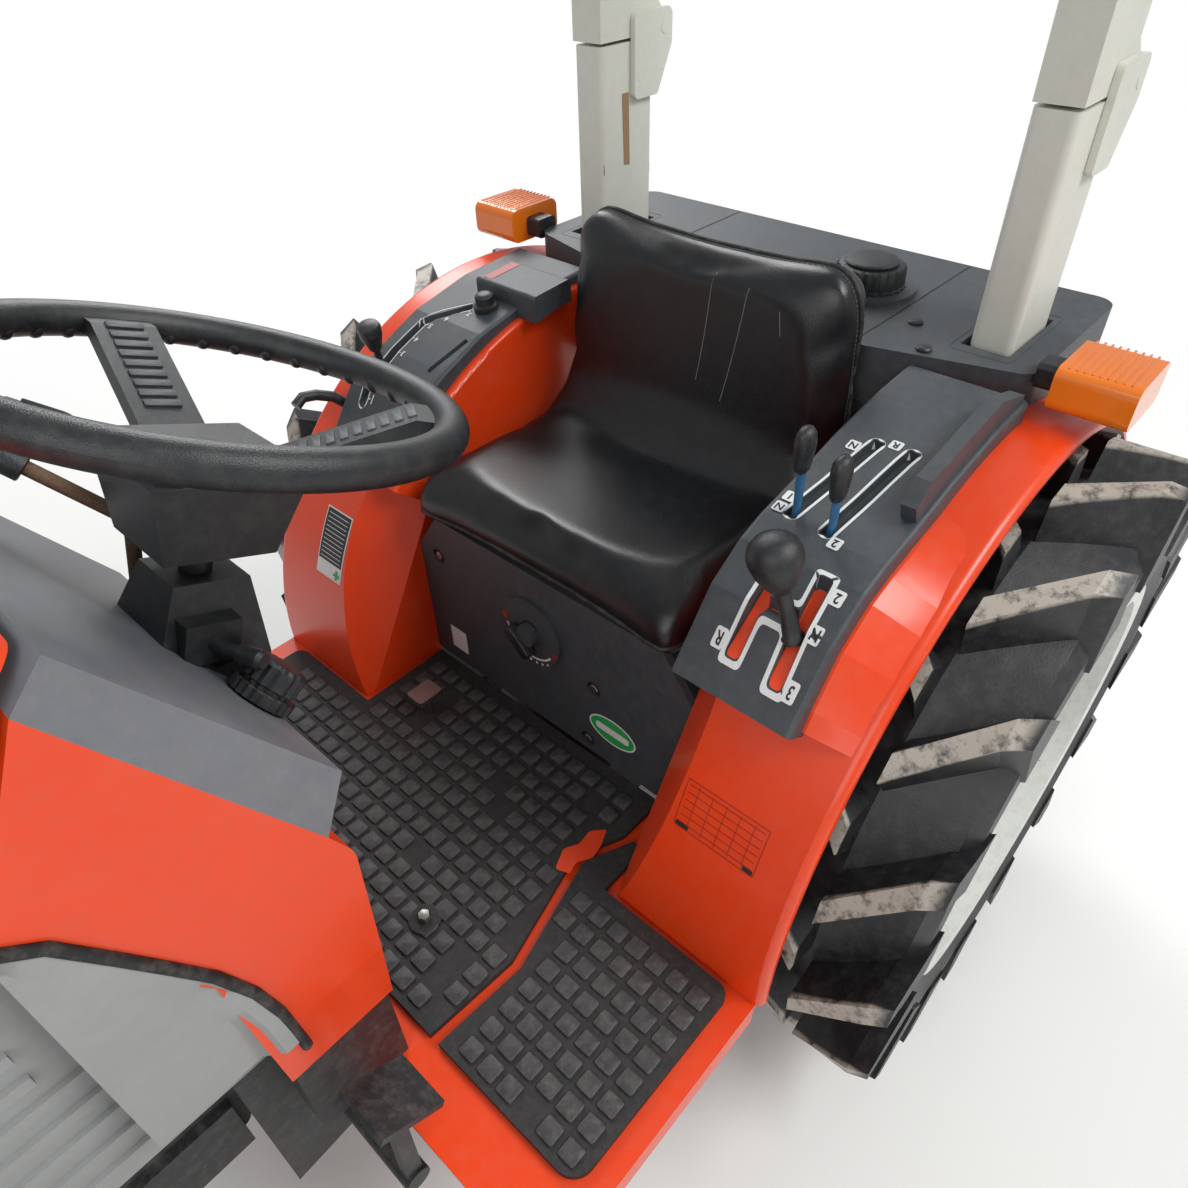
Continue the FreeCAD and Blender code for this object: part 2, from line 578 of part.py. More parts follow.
def front_frame():
    """Two rails along the engine, the axle's hangers and the hitch plate in front."""
    body = new_body("front_frame")
    nose = "d.wheelbase + d.nose_reach"
    for side, sign in SIDES:
        rail = [("d.engine_rear + 10", "d.rail_low"), (nose + " - 20", "d.rail_low"),
                (nose + " - 20", "d.rail_high"), ("d.engine_rear + 10", "d.rail_high")]
        low, high = mirrored("d.engine_half", "d.engine_half + d.rail_thick", sign)
        slab(body, "XZ_Plane", rail, low, high)
    wide = "d.engine_half + d.rail_thick"
    slab(body, "YZ_Plane", box_corners("-(%s)" % wide, wide, "d.rail_low - 26", "d.rail_high + 20", "18"),
         nose + " - 20", nose)
    deck = box_corners(ENGINE_FRONT + " + 30", nose + " - 20", "d.rail_high - 8", "d.rail_high")
    slab(body, "XZ_Plane", deck, "-(%s)" % wide, wide)
    for face in (-1, 1):
        near = "d.wheelbase + %d * (d.beam_half_width + 16)" % face
        far = "d.wheelbase + %d * (d.beam_half_width + 52)" % face
        low, high = (near, far) if face > 0 else (far, near)
        hanger = [("-48", "d.case_low - 16", "24"), ("48", "d.case_low - 16", "24"),
                  (wide, "d.rail_low + 1"), ("-(%s)" % wide, "d.rail_low + 1")]
        slab(body, "YZ_Plane", hanger, low, high)
        rod(body, "YZ_Plane", "0", "d.case_low + 15", "20 + d.running_gap",
            low + " - 1", high + " + 1", cut=True)
    for side, sign in SIDES:
        for rise in (0, 1):
            rod(body, "YZ_Plane", "%d * 70" % sign, "d.rail_low + 10 + %d * 50" % rise, "8.5",
                nose + " - 21", nose + " + 1", cut=True)

    body = new_body("drive_shaft_tube")
    rod(body, "YZ_Plane", "0", "d.case_low + 15", "22", "d.engine_rear",
        "d.wheelbase - d.beam_half_width - 52")


# Operator's station

# Tear along the mat's left: X, and how far inside the fender's wall it runs
MAT_SPLIT = [("d.panel_x + 71", 39), ("d.panel_x + 133", 66), ("d.panel_x + 277", 27)]
MAT_GAP = 14


def floor_and_mat():
    """Full-width floor sheet with downturned edges, and the torn rubber mat on it."""
    body = new_body("floor")
    behind = "d.panel_x"
    edge = ARCH_X + " + " + ARCH_R + " - 25"
    ledge = "d.fender_inner + 8"
    step = ARCH_X + " + " + ARCH_R + " + d.fit_gap + 2"
    inner = "d.fender_inner - d.fit_gap - 1"
    under = "d.floor_top - d.floor_sheet"
    outline = [(behind, "-(%s)" % ledge), (edge, "-(%s)" % ledge), (edge, "-d.floor_half"),
               ("d.floor_front", "-d.floor_half", "40"), ("d.floor_front", "d.floor_half", "40"),
               (edge, "d.floor_half"), (edge, ledge), (behind, ledge)]
    slab(body, "XY_Plane", outline, under, "d.floor_top")
    for side, sign in SIDES:
        low, high = mirrored("d.floor_half - 5", "d.floor_half", sign)
        skirt = box_corners(step, "d.floor_front - 40", "d.floor_top - d.floor_skirt", "d.floor_top - 1")
        slab(body, "XZ_Plane", skirt, low, high)
    for bar in ("d.floor_front - 80", "d.panel_x + 160"):
        slab(body, "XZ_Plane", box_corners(bar, bar + " + 44", "d.case_mid_high", under + " + 1"),
             "-d.floor_half + 20", "d.floor_half - 20")

    body = new_body("floor_mat")
    wall = inner + " - 8"
    front = "d.floor_front - 66"
    main = [("d.panel_x + 4", "-(%s)" % wall), ("d.panel_x + 4", inner + " - 39")]
    main += [(x, "%s - %d" % (inner, back)) for x, back in MAT_SPLIT]
    main += [(front, inner + " - 33"), (front, "-d.floor_half + 40", "24"),
             (step + " + 6", "-d.floor_half + 40", "16"), (step + " + 6", "-(%s)" % wall)]
    slab(body, "XY_Plane", main, "d.floor_top", "d.floor_top + d.mat_thick")
    left = [(x, "%s - %d" % (inner, back - MAT_GAP)) for x, back in MAT_SPLIT]
    left += [(front, "%s - %d" % (inner, 33 - MAT_GAP)), (front, "d.floor_half - 26", "24"),
             (step + " + 6", "d.floor_half - 26", "16"), (step + " + 6", wall), (MAT_SPLIT[0][0], wall)]
    slab(body, "XY_Plane", left, "d.floor_top", "d.floor_top + d.mat_thick")


def on_arch(angle, rise):
    """Point in X and Z at an angle round a fender's arch, and a rise above its sheet."""
    reach = size(ARCH_R) + rise
    turn = math.radians(angle)
    return size(ARCH_X) + reach * math.cos(turn), size(ARCH_Z) + reach * math.sin(turn)


# Flat facet on a fender's inner front edge: where it looks, where it starts, where it ends
FACET_OUT = V(0.517, -0.8, 0.304)
FACET_START = 8
FACET_STOP = 40.5


def facet_tool(sign, depth, stop):
    """What lies in front of the facet, or of a plane some depth below it."""
    out = V(FACET_OUT.x, FACET_OUT.y * sign, FACET_OUT.z).normalize()
    x, z = on_arch(0, -FACET_START)
    corner = V(x, size("d.fender_inner") * sign, z) - out * depth
    reach = size(ARCH_R)
    block = Part.makeBox(reach * 4, reach * 4, reach, V(-reach * 2, -reach * 2, 0))
    block.Placement = FreeCAD.Placement(corner, FreeCAD.Rotation(V(0, 0, 1), out))
    wedge = [on_arch(0, -reach), on_arch(-20, reach * 2), on_arch(stop, reach * 2)]
    return block.common(side_prism(wedge, -reach, reach))


def turned_arch(corners, sign, start, stop):
    """Outline of (radius, Y) corners turned about the arch's middle from one angle to another."""
    hand = [(corner[0], corner[1] * sign) + tuple(corner[2:]) for corner in corners]
    face = flat_face(hand, FreeCAD.Placement())
    face.rotate(V(0, 0, 0), V(0, -1, 0), start)
    solid = face.revolve(V(0, 0, 0), V(0, -1, 0), stop - start)
    solid.translate(V(size(ARCH_X), 0, size(ARCH_Z)))
    return solid


# Raised bed under the left console: angle round the arch, rise above the sheet
LEFT_BED = [(40.6, 17), (43.2, 22), (50.3, 32), (56.2, 29), (60.1, 21), (67.5, 6), (72, -0.5)]


def console_bed():
    """Raised part of the left fender, which falls away to the fender's outer edge."""
    sunk = [on_arch(angle, -2) for angle, rise in reversed(LEFT_BED)]
    high = [on_arch(angle, rise) for angle, rise in LEFT_BED]
    flat = [on_arch(angle, -1) for angle, rise in LEFT_BED]
    low, edge = size("d.fender_inner + 2"), size("d.console_out + 3")
    outer = size("d.fender_outer - d.fender_round")
    wires = []
    for y, top in ((edge, high), (outer, flat)):
        ring = [V(x, y, z) for x, z in top + sunk]
        wires.append(Part.makePolygon(ring + ring[:1]))
    return side_prism(high + sunk, low, edge).fuse(Part.makeLoft(wires, True, True))


def fender(name, sign):
    """Pressed fender: inner wall, arched top, downturned lip and a flat facet in front."""
    wall, hole, lip = size("d.sheet_wall"), size("d.fender_hole"), size("d.fender_lip")
    low, high = size("d.fender_inner"), size("d.fender_outer")
    top, soft = size(ARCH_R), size("d.fender_round")
    outside = [(hole, low), (top, low, 6), (top, high, soft), (hole, high)]
    inside = [(hole - 1, low + wall), (top - wall, low + wall), (top - wall, high - wall, soft - wall),
              (top - lip, high - wall), (top - lip, high + 1), (hole - 1, high + 1)]
    sweep = size("d.fender_sweep")
    skin = turned_arch(outside, sign, -6, sweep)
    if sign > 0:
        skin = skin.fuse(console_bed())
    skin = skin.cut(facet_tool(sign, 0, FACET_STOP))
    hollow = turned_arch(inside, sign, -8, sweep + 2)
    hollow = hollow.cut(facet_tool(sign, wall, FACET_STOP + math.degrees(wall / top)))
    shell = skin.cut(hollow)
    floor = size("d.floor_top + d.fit_gap")
    shell = shell.cut(Part.makeBox(top * 2, high * 3, top, V(0, -high * 1.5, floor - top)))
    span = mirrored("d.post_y - d.post_wide / 2 - 4", "d.post_y + d.post_wide / 2 + 4", sign)
    gap = box_corners("d.post_rear - 4", "d.post_front + 4", COVER_LOW, COVER_TOP)
    new_feature(name, shell.cut(side_prism(gap, *span)).removeSplitter())


def fender_arch():
    """Cylinder just outside the fenders' arched tops, to seat what lies on them."""
    reach = size("d.fender_outer")
    return Part.makeCylinder(size(ARCH_R + " + d.fit_gap"), reach * 2,
                             V(size(ARCH_X), -reach, size(ARCH_Z)), V(0, 1, 0))


def arch_path(points):
    """Points in X and Z of a path given by angles and rises round the fender's arch."""
    return [on_arch(angle, rise) for angle, rise in points]


# Consoles' tops from front to rear: angle round the arch, rise above the sheet
LEFT_TOP = arch_path([(39.7, 42), (43.2, 44), (50.3, 54), (56.2, 51), (60.1, 43), (67.5, 26),
                      (74.6, 21), (84.7, 20), (93.5, 24)])
RIGHT_TOP = arch_path([(41, 8), (53.3, 28), (60.7, 21), (69.2, 19), (80.7, 15), (93.6, 17)])
LEFT_FOOT = arch_path([(93.5, -20), (45, -20), (40, 10)])
RIGHT_FOOT = arch_path([(93.6, -20), (41.4, -20)])


def top_height(path, x):
    """Height of a console's top at X, between the points of its path."""
    for (x0, z0), (x1, z1) in zip(path, path[1:]):
        if x1 <= x <= x0:
            return z0 + (z1 - z0) * (x0 - x) / (x0 - x1)
    return path[-1][1]


def console_block(path, foot, sign):
    """Moulded console between its inner and outer faces, its long upper edges rounded."""
    low, high = mirrored("d.console_in", "d.console_out", sign)
    block = side_prism(path + foot, low, high)
    soft = []
    for edge in block.Edges:
        middle = edge.CenterOfMass
        if edge.BoundBox.YLength < 1 and abs(top_height(path, middle.x) - middle.z) < 0.1:
            soft.append(edge)
    return block.makeFillet(5, soft)


def sunk_gate(points, width, path, sign):
    """Gate cut from a console's top: its floor stays slot_deep below the top."""
    deep = size("d.slot_deep")
    half = width / 2
    base = [V(x, y * sign, top_height(path, x) - deep) for x, y in points]
    pieces = []
    for start, stop in zip(base, base[1:]):
        run = V(stop.x - start.x, stop.y - start.y, 0).normalize() * half
        side = V(-run.y, run.x, 0)
        corners = [start - run + side, start - run - side, stop + run - side, stop + run + side]
        pieces.append(Part.Face(Part.makePolygon(corners + corners[:1])).extrude(V(0, 0, deep * 6)))
    return pieces[0].multiFuse(pieces[1:]) if len(pieces) > 1 else pieces[0]


# Gates in the consoles: points in X and Y, width
LEFT_GATES = [
    ([(372, 303), (301, 303)], 15),
    ([(376, 354), (308, 348)], 15),
    ([(340, 303), (340, 351)], 15),
    ([(252, 278), (130, 296)], 12),
    ([(256, 320), (127, 334)], 12),
]
RIGHT_GATES = [
    ([(318, 349), (251, 356), (198, 354), (146, 314)], 13),
    ([(254, 276), (202, 264)], 8),
]


def consoles():
    """Gear console on the left fender, lift quadrant on the right one, and their levers."""
    left = console_block(LEFT_TOP, LEFT_FOOT, 1)
    fin = arch_path([(67, 20), (67, 48), (70, 58), (86, 50), (93.4, 30), (93.4, 10)])
    left = left.fuse(side_prism(fin, "d.console_out - 22", "d.console_out - 6"))
    for points, width in LEFT_GATES:
        left = left.cut(sunk_gate(points, width, LEFT_TOP, 1))
    left = left.cut(console_bed()).cut(fender_arch()).removeSplitter()
    new_feature("console_left", left)
    right = console_block(RIGHT_TOP, RIGHT_FOOT, -1)
    rear = size(ARCH_X)
    box = [(rear + 35, size(COVER_TOP) - 60), (rear + 105, size(COVER_TOP) - 60),
           (rear + 105, size(COVER_TOP) - 8, 6), (rear + 35, size(COVER_TOP) - 3, 6)]
    right = right.fuse(side_prism(box, "-d.console_in - 80", "-d.fender_inner + 25"))
    for points, width in RIGHT_GATES:
        right = right.cut(sunk_gate(points, width, RIGHT_TOP, -1))
    right = right.cut(fender_arch()).removeSplitter()
    new_feature("console_right", right)
    levers(left, right)


def straight_lever(console, path, foot, tip, knob_radius, knob_long):
    """Lever from a gate's floor in a console to a rounded grip: X, Y and the tip's rise."""
    sunk = size("d.slot_deep")
    top = top_height(path, foot[0])
    start = V(foot[0], foot[1], top - sunk)
    end = V(tip[0], tip[1], top + tip[2])
    axis = (end - start).normalize()
    start = start - axis * sunk
    stem = Part.makeCylinder(size("d.lever_radius"), (end - start).Length, start, axis)
    stem = stem.cut(console).cut(console_bed()).cut(fender_arch())
    stem = max(stem.Solids, key=lambda solid: solid.Volume)
    base = end - axis * knob_long * 0.5
    grip = Part.makeCone(knob_radius * 0.62, knob_radius, knob_long * 0.7, base, axis)
    cap = Part.makeSphere(knob_radius, end + axis * knob_long * 0.2)
    return stem.multiFuse([grip, cap])


def levers(left, right):
    """Levers that stand in the consoles' gates."""
    main = straight_lever(left, LEFT_TOP, (346, 350), (352, 326, 62), 27, 50)
    new_feature("main_shift_lever", main)
    first = straight_lever(left, LEFT_TOP, (244, 279), (258, 283, 78), 12, 48)
    second = straight_lever(left, LEFT_TOP, (248, 321), (262, 325, 68), 12, 48)
    new_feature("range_levers", Part.makeCompound([first, second]))
    lift = straight_lever(right, RIGHT_TOP, (276, -353), (294, -338, 52), 15, 34)
    new_feature("lift_lever", lift)


def seat():
    """One-piece seat pan: cushion, crease and backrest in one outline with soft edges."""
    profile = [("d.seat_front", "d.seat_high - 34", "26"), ("d.seat_front - 46", "d.seat_high", "40"),
               ("d.seat_crease + 40", "d.seat_high - 16", "60"), ("d.seat_crease", "d.seat_high + 40", "60"),
               ("d.seat_back_rear + 60", "d.seat_back_high", "24"),
               ("d.seat_back_rear", "d.seat_back_high - 6", "24"),
               ("d.seat_back_rear + 6", "d.seat_low + 30", "30"), ("d.seat_crease + 30", "d.seat_low", "40"),
               ("d.seat_front - 30", "d.seat_low", "20")]
    block = side_prism(profile, "-d.seat_half", "d.seat_half")
    sides = [edge for edge in block.Edges if abs(abs(edge.CenterOfMass.y) - size("d.seat_half")) < 0.01]
    block = block.makeFillet(16, sides)
    front = [("-d.seat_half - 1", "d.seat_low - 1"), ("d.seat_half + 1", "d.seat_low - 1"),
             ("d.seat_half + 1", "d.seat_high + 60"), ("d.seat_half - 20", "d.seat_back_high + 1", "52"),
             ("-d.seat_half + 20", "d.seat_back_high + 1", "52"), ("-d.seat_half - 1", "d.seat_high + 60")]
    new_feature("seat", block.common(front_prism(front, "d.seat_back_rear - 1", "d.seat_front + 1")))

    body = new_body("seat_pillar")
    slab(body, "XZ_Plane", box_corners("40", "d.panel_x - d.panel_thick - 30", CASE_TOP,
                                       "d.seat_low - d.fit_gap", "10"), "-d.pillar_half", "d.pillar_half")

    body = new_body("under_seat_panel")
    edge = "d.fender_inner - d.fit_gap - 1"
    face = [("-(%s)" % edge, "d.floor_top + d.mat_thick + 2"), (edge, "d.floor_top + d.mat_thick + 2"),
            (edge, "d.seat_low - 60"), (edge + " - 44", "d.seat_low - d.fit_gap"),
            ("-(%s) + 44" % edge, "d.seat_low - d.fit_gap"), ("-(%s)" % edge, "d.seat_low - 60")]
    slab(body, "YZ_Plane", face, "d.panel_x - d.panel_thick", "d.panel_x")
    for radius, stand in (("52", 5), ("16", 16)):
        rod(body, "YZ_Plane", "-18", "d.floor_top + 175", radius, "d.panel_x - 1", "d.panel_x + %d" % stand)
    for y, rise in (("87", 137), ("73", 32), ("-200", 205)):
        rod(body, "YZ_Plane", y, "d.floor_top + %d" % rise, "11", "d.panel_x - 4", "d.panel_x + 1", cut=True)


def rear_cover():
    """Moulded cover over the fuel tank behind the seat, and its screw cap."""
    body = new_body("rear_cover")
    outline = [("d.cover_rear", "-d.cover_half", "26"), ("d.cover_front - 47", "-d.cover_half", "24"),
               ("d.cover_front", "-d.fender_inner + 44", "40"),
               ("d.cover_front", "d.fender_inner - 44", "40"),
               ("d.cover_front - 47", "d.cover_half", "24"), ("d.cover_rear", "d.cover_half", "26")]
    slab(body, "XY_Plane", outline, COVER_LOW + " + 70", COVER_TOP)
    inner = "d.fender_inner - d.fit_gap - 1"
    slab(body, "XY_Plane", box_corners("d.cover_rear + 20", "d.cover_front", "-(%s)" % inner, inner, "20"),
         COVER_LOW, COVER_LOW + " + 71")
    for side, sign in SIDES:
        low, high = mirrored(inner, "d.cover_half + 10", sign)
        rod(body, "XZ_Plane", ARCH_X, ARCH_Z, ARCH_R + " + d.fit_gap", low, high, cut=True)
        span = mirrored("d.post_y - d.post_wide / 2 - 4", "d.post_y + d.post_wide / 2 + 4", sign)
        hole = box_corners("d.post_rear - 4", "d.post_front + 14", span[0], span[1])
        slab(body, "XY_Plane", hole, COVER_LOW, COVER_TOP + " + 1", cut=True)
    rod(body, "XY_Plane", "d.cap_x", "d.cap_y", "d.cap_radius + 14", COVER_TOP + " - 1", COVER_TOP + " + 6")

    body = new_body("fuel_cap")
    for inset, low, high in (("0", "6", "34"), ("12", "33", "40")):
        rod(body, "XY_Plane", "d.cap_x", "d.cap_y", "d.cap_radius - " + inset,
            COVER_TOP + " + " + low, COVER_TOP + " + " + high)


def rollover_bar():
    """Two posts on the axle tubes and the hoop that folds down to the rear."""
    body = new_body("rops_posts")
    inner = "d.post_y - d.post_wide / 2"
    outer = "d.post_y + d.post_wide / 2"
    for side, sign in SIDES:
        low, high = mirrored(inner, outer, sign)
        tube = box_corners("d.post_rear", "d.post_front", low, high, "d.post_round")
        slab(body, "XY_Plane", tube, POST_LOW, "d.fold_z - 10")
        foot = [("d.post_front - 1", POST_LOW + " + 4"), ("d.post_front - 1", POST_LOW + " + 150"),
                ("0", "d.rear_tyre_radius + d.axle_tube_radius + 16", "10"),
                ("76", "d.rear_tyre_radius + d.axle_tube_radius + 16", "8"),
                ("76", POST_LOW + " + 4", "8")]
        slab(body, "XZ_Plane", foot, low, high)
        rod(body, "XZ_Plane", "0", "d.rear_tyre_radius", "d.axle_tube_radius + d.fit_gap",
            low + " - 1", high + " + 1", cut=True)
        for face, lap in (("in", -1), ("out", 1)):
            edge = inner if face == "in" else outer
            near = edge + " + %d * d.fit_gap" % lap
            far = edge + " + %d * (d.fit_gap + 8)" % lap
            ends = (far, near) if face == "in" else (near, far)
            low, high = mirrored(ends[0], ends[1], sign)
            cheek_in, cheek_out = "d.post_rear + 50", "d.post_rear - 30"
            cheek = [(cheek_in, "d.fold_z - 80", "8"), (cheek_in, "d.fold_z + 24", "8"),
                     (cheek_out, "d.fold_z + 24", "12"), (cheek_out, "d.fold_z - 20", "12"),
                     ("d.post_rear", "d.fold_z - 80", "8")]
            slab(body, "XZ_Plane", cheek, low, high)
            rod(body, "XZ_Plane", "d.post_rear - 14", "d.fold_z", "d.fold_pin_radius + d.running_gap",
                low + " - 1", high + " + 1", cut=True)
            weld = (far, edge + " + 1") if face == "in" else (edge + " - 1", far)
            low, high = mirrored(weld[0], weld[1], sign)
            seam = box_corners("d.post_rear + 6", "d.post_rear + 46", "d.fold_z - 74", "d.fold_z - 14")
            slab(body, "XZ_Plane", seam, low, high)

    body = new_body("rops_hoop")
    foot = "d.fold_z - 6"
    hoop = [("-(%s)" % outer, foot), ("-(%s)" % outer, "d.hoop_high", "d.hoop_round"),
            (outer, "d.hoop_high", "d.hoop_round"), (outer, foot), (inner, foot),
            (inner, "d.hoop_high - d.post_wide", "d.hoop_round - d.post_wide"),
            ("-(%s)" % inner, "d.hoop_high - d.post_wide", "d.hoop_round - d.post_wide"),
            ("-(%s)" % inner, foot)]
    slab(body, "YZ_Plane", hoop, "d.post_rear", "d.post_front")
    for side, sign in SIDES:
        low, high = mirrored(inner, outer, sign)
        ear = [("d.post_rear + 1", foot), ("d.post_rear + 1", "d.fold_z + 40"),
               ("d.post_rear - 26", "d.fold_z + 14", "8"), ("d.post_rear - 26", foot, "8")]
        slab(body, "XZ_Plane", ear, low, high)
        low, high = mirrored(inner + " - 9", outer + " + 9", sign)
        rod(body, "XZ_Plane", "d.post_rear - 14", "d.fold_z", "d.fold_pin_radius", low, high)


def lamps():
    """Turn signals on short stalks at the fenders' outer edges, and the tail lamps."""
    stalks = new_body("lamp_stalks")
    lenses = new_body("turn_signals")
    for side, sign in SIDES:
        stalk = box_corners("-92", "-56", COVER_TOP + " - 12", COVER_TOP + " + 16", "6")
        slab(stalks, "XZ_Plane", stalk, *mirrored("d.cover_half", "d.cover_half + 26", sign))
        lamp = box_corners("-122", "-26", COVER_TOP + " - 18", COVER_TOP + " + 30", "12")
        slab(lenses, "XZ_Plane", lamp, *mirrored("d.cover_half + 26", "d.cover_half + 108", sign))


# Cowl, dashboard and steering

def dash_line(along, down):
    """Point in X and Z on the dashboard: a share of its slope, and a depth below it."""
    low = V(size("d.dash_low_x"), 0, size("d.dash_low_z"))
    high = V(size("d.dash_high_x"), 0, size("d.dash_high_z"))
    slope = high - low
    normal = V(-slope.z, 0, slope.x).normalize()
    return low + slope * along - normal * down


def under_dash():
    """Block that fills all below the dashboard's face, to seat what stands on it."""
    corners = []
    for along, down in ((-0.6, 0), (1.3, 0), (1.3, 160), (-0.6, 160)):
        point = dash_line(along, down)
        corners.append((point.x, point.z))
    return side_prism(corners, "-d.dash_half_low", "d.dash_half_low")


def column_axis():
    """Direction of the steering column, up and to the rear."""
    lean = math.radians(size("d.column_tilt"))
    return V(-math.sin(lean), 0, math.cos(lean))


BAND_X = "d.dash_band * 0.55"
BAND_Z = "d.dash_band"
SEAL = [("962", "903"), ("872", "745")]


def dash_outline():
    """Side view of the dashboard moulding."""
    return [("d.dash_low_x", "d.dash_low_z"), ("d.dash_high_x", "d.dash_high_z"),
            ("d.dash_high_x + " + BAND_X, "d.dash_high_z - 0.5 * " + BAND_Z),
            ("d.dash_low_x + " + BAND_X, "d.dash_low_z - " + BAND_Z)]


def taper(name, low, high):
    """Cuts both sides of a body to the cowl's taper, wide below and narrow on top."""
    for side, sign in SIDES:
        corners = [("%d * d.dash_half_low" % sign, "640"),
                   ("%d * d.dash_half_high" % sign, "d.dash_high_z + 2"),
                   ("%d * (d.dash_half_low + 60)" % sign, "d.dash_high_z + 2"),
                   ("%d * (d.dash_half_low + 60)" % sign, "640")]
        slab(name, "YZ_Plane", corners, low, high, cut=True)


def cowl():
    """Orange cowl between floor and dashboard, hollow inside, and the dashboard on it."""
    body = new_body("cowl")
    outline = dash_outline()
    skin = [outline[3], ("738", "770", "40"), ("748", "640", "30"), ("752", "d.floor_top + 130"),
            ("862", "d.floor_top + 130"), SEAL[1], SEAL[0], outline[2]]
    slab(body, "XZ_Plane", skin, "-d.dash_half_low", "d.dash_half_low")
    hollow = [("790", "d.floor_top + 129"), ("790", "760"), ("812", "840"), ("880", "990"), ("905", "960"),
              ("930", "900"), ("850", "760"), ("850", "d.bell_high + 40"), ("880", "d.bell_high + 40"),
              ("880", "d.floor_top + 129")]
    inside = "d.dash_half_low - d.cowl_wall"
    slab(body, "XZ_Plane", hollow, "-(%s)" % inside, inside, cut=True)
    taper(body, "700", "1000")

    body = new_body("dash_panel")
    slab(body, "XZ_Plane", outline, "-d.dash_half_low", "d.dash_half_low")
    taper(body, "700", "1000")

    body = new_body("cowl_foot")
    foot = [("756", "d.floor_top"), ("858", "d.floor_top"), ("858", "d.floor_top + 129.7"),
            ("756", "d.floor_top + 129.7")]
    slab(body, "XZ_Plane", foot, "-d.dash_half_low + 4", "d.dash_half_low - 4")
    slab(body, "XZ_Plane", box_corners("790", "870", "d.floor_top - 1", "d.floor_top + 140"),
         "-d.bell_half - 10", "d.bell_half + 10", cut=True)


def steering():
    """Short square column cover on the dashboard, and the wheel with its shaft and hub."""
    foot = V(size("d.column_x"), 0, size("d.column_z"))
    place = FreeCAD.Placement(foot, FreeCAD.Rotation(V(0, 0, 1), column_axis()))
    cover_top = size("d.cover_length")
    radius = size("d.steering_shaft_radius")
    cover = tapered_box([(-70, 100, 92), (0, 96, 88), (cover_top, 64, 56)])
    stalk_box = Part.makeBox(46, 30, 36, V(-14, 22, 6)).cut(cover)
    cover = cover.cut(Part.makeCylinder(radius + size("d.running_gap"), 80, V(0, 0, cover_top - 50)))
    cover = cover.fuse(stalk_box)
    cover.Placement = place
    new_feature("column_cover", cover.cut(under_dash()).removeSplitter())

    tube = size("d.wheel_tube")
    ring_radius = size("d.wheel_radius") - tube
    length = size("d.column_length")
    hub = tapered_box([(cover_top + 24, 92, 80), (length - 62, 124, 100), (length - 46, 108, 88)])
    pieces = [hub]
    spoke = [(34, length - 74), (50, length - 50), (ring_radius - 30, length + 4), (ring_radius, length + 5),
             (ring_radius, length - 6), (ring_radius - 26, length - 9)]
    for turn in (27, 147, 267):
        arm = side_prism(spoke, -26, 26)
        arm.rotate(V(0, 0, 0), V(0, 0, 1), turn)
        pieces.append(arm)
    start = cover_top - 48
    pieces.append(Part.makeCylinder(radius, length - 70 - start, V(0, 0, start)))
    wheel = Part.makeTorus(ring_radius, tube, V(0, 0, length)).multiFuse(pieces)
    wheel.Placement = place
    new_feature("steering_wheel", wheel.removeSplitter())


def tapered_box(sections):
    """Solid through rectangles centred on Z: height, length along X, width along Y."""
    wires = []
    for rise, long, wide in sections:
        wires.append(Part.makePlane(long, wide, V(-long / 2, -wide / 2, rise)).OuterWire)
    return Part.makeLoft(wires, True, True)


def bent_rod(points, radius, bend):
    """Round rod along points, with an arc of the given radius at each inner point."""
    edges = []
    last = points[0]
    for index in range(1, len(points) - 1):
        point = points[index]
        back = (points[index - 1] - point).normalize()
        ahead = (points[index + 1] - point).normalize()
        half = back.getAngle(ahead) / 2
        enter = point + back * (bend / math.tan(half))
        leave = point + ahead * (bend / math.tan(half))
        centre = point + (back + ahead).normalize() * (bend / math.sin(half))
        middle = centre + (point - centre).normalize() * bend
        edges.append(Part.LineSegment(last, enter).toShape())
        edges.append(Part.Arc(enter, middle, leave).toShape())
        last = leave
    edges.append(Part.LineSegment(last, points[-1]).toShape())
    path = Part.Wire(edges)
    start = (points[1] - points[0]).normalize()
    circle = Part.Wire([Part.Circle(points[0], start, radius).toShape()])
    return path.makePipeShell([circle], True, False)


def dash_controls():
    """Big ridged knob low on the dashboard, and the bent throttle rod on its right."""
    base = dash_line(0.06, 0) + V(0, 82, 0)
    normal = (dash_line(0, 0) - dash_line(0, 10)).normalize()
    knob = Part.makeCylinder(29, 14, base, normal)
    new_feature("dash_knob", knob.fuse(Part.makeCylinder(25, 34, base, normal)))

    root = dash_line(0.18, 0) + V(0, -66, 0)
    rise = V(size("d.dash_low_x + 2"), -62, size("d.dash_low_z + 122"))
    tip = V(size("d.dash_low_x + 48"), -100, size("d.dash_low_z + 180"))
    throttle = bent_rod([root, rise, tip], 6, 22)
    throttle = throttle.fuse(Part.makeCylinder(12, 40, tip, (tip - rise).normalize()))
    new_feature("throttle_lever", throttle.cut(under_dash()))


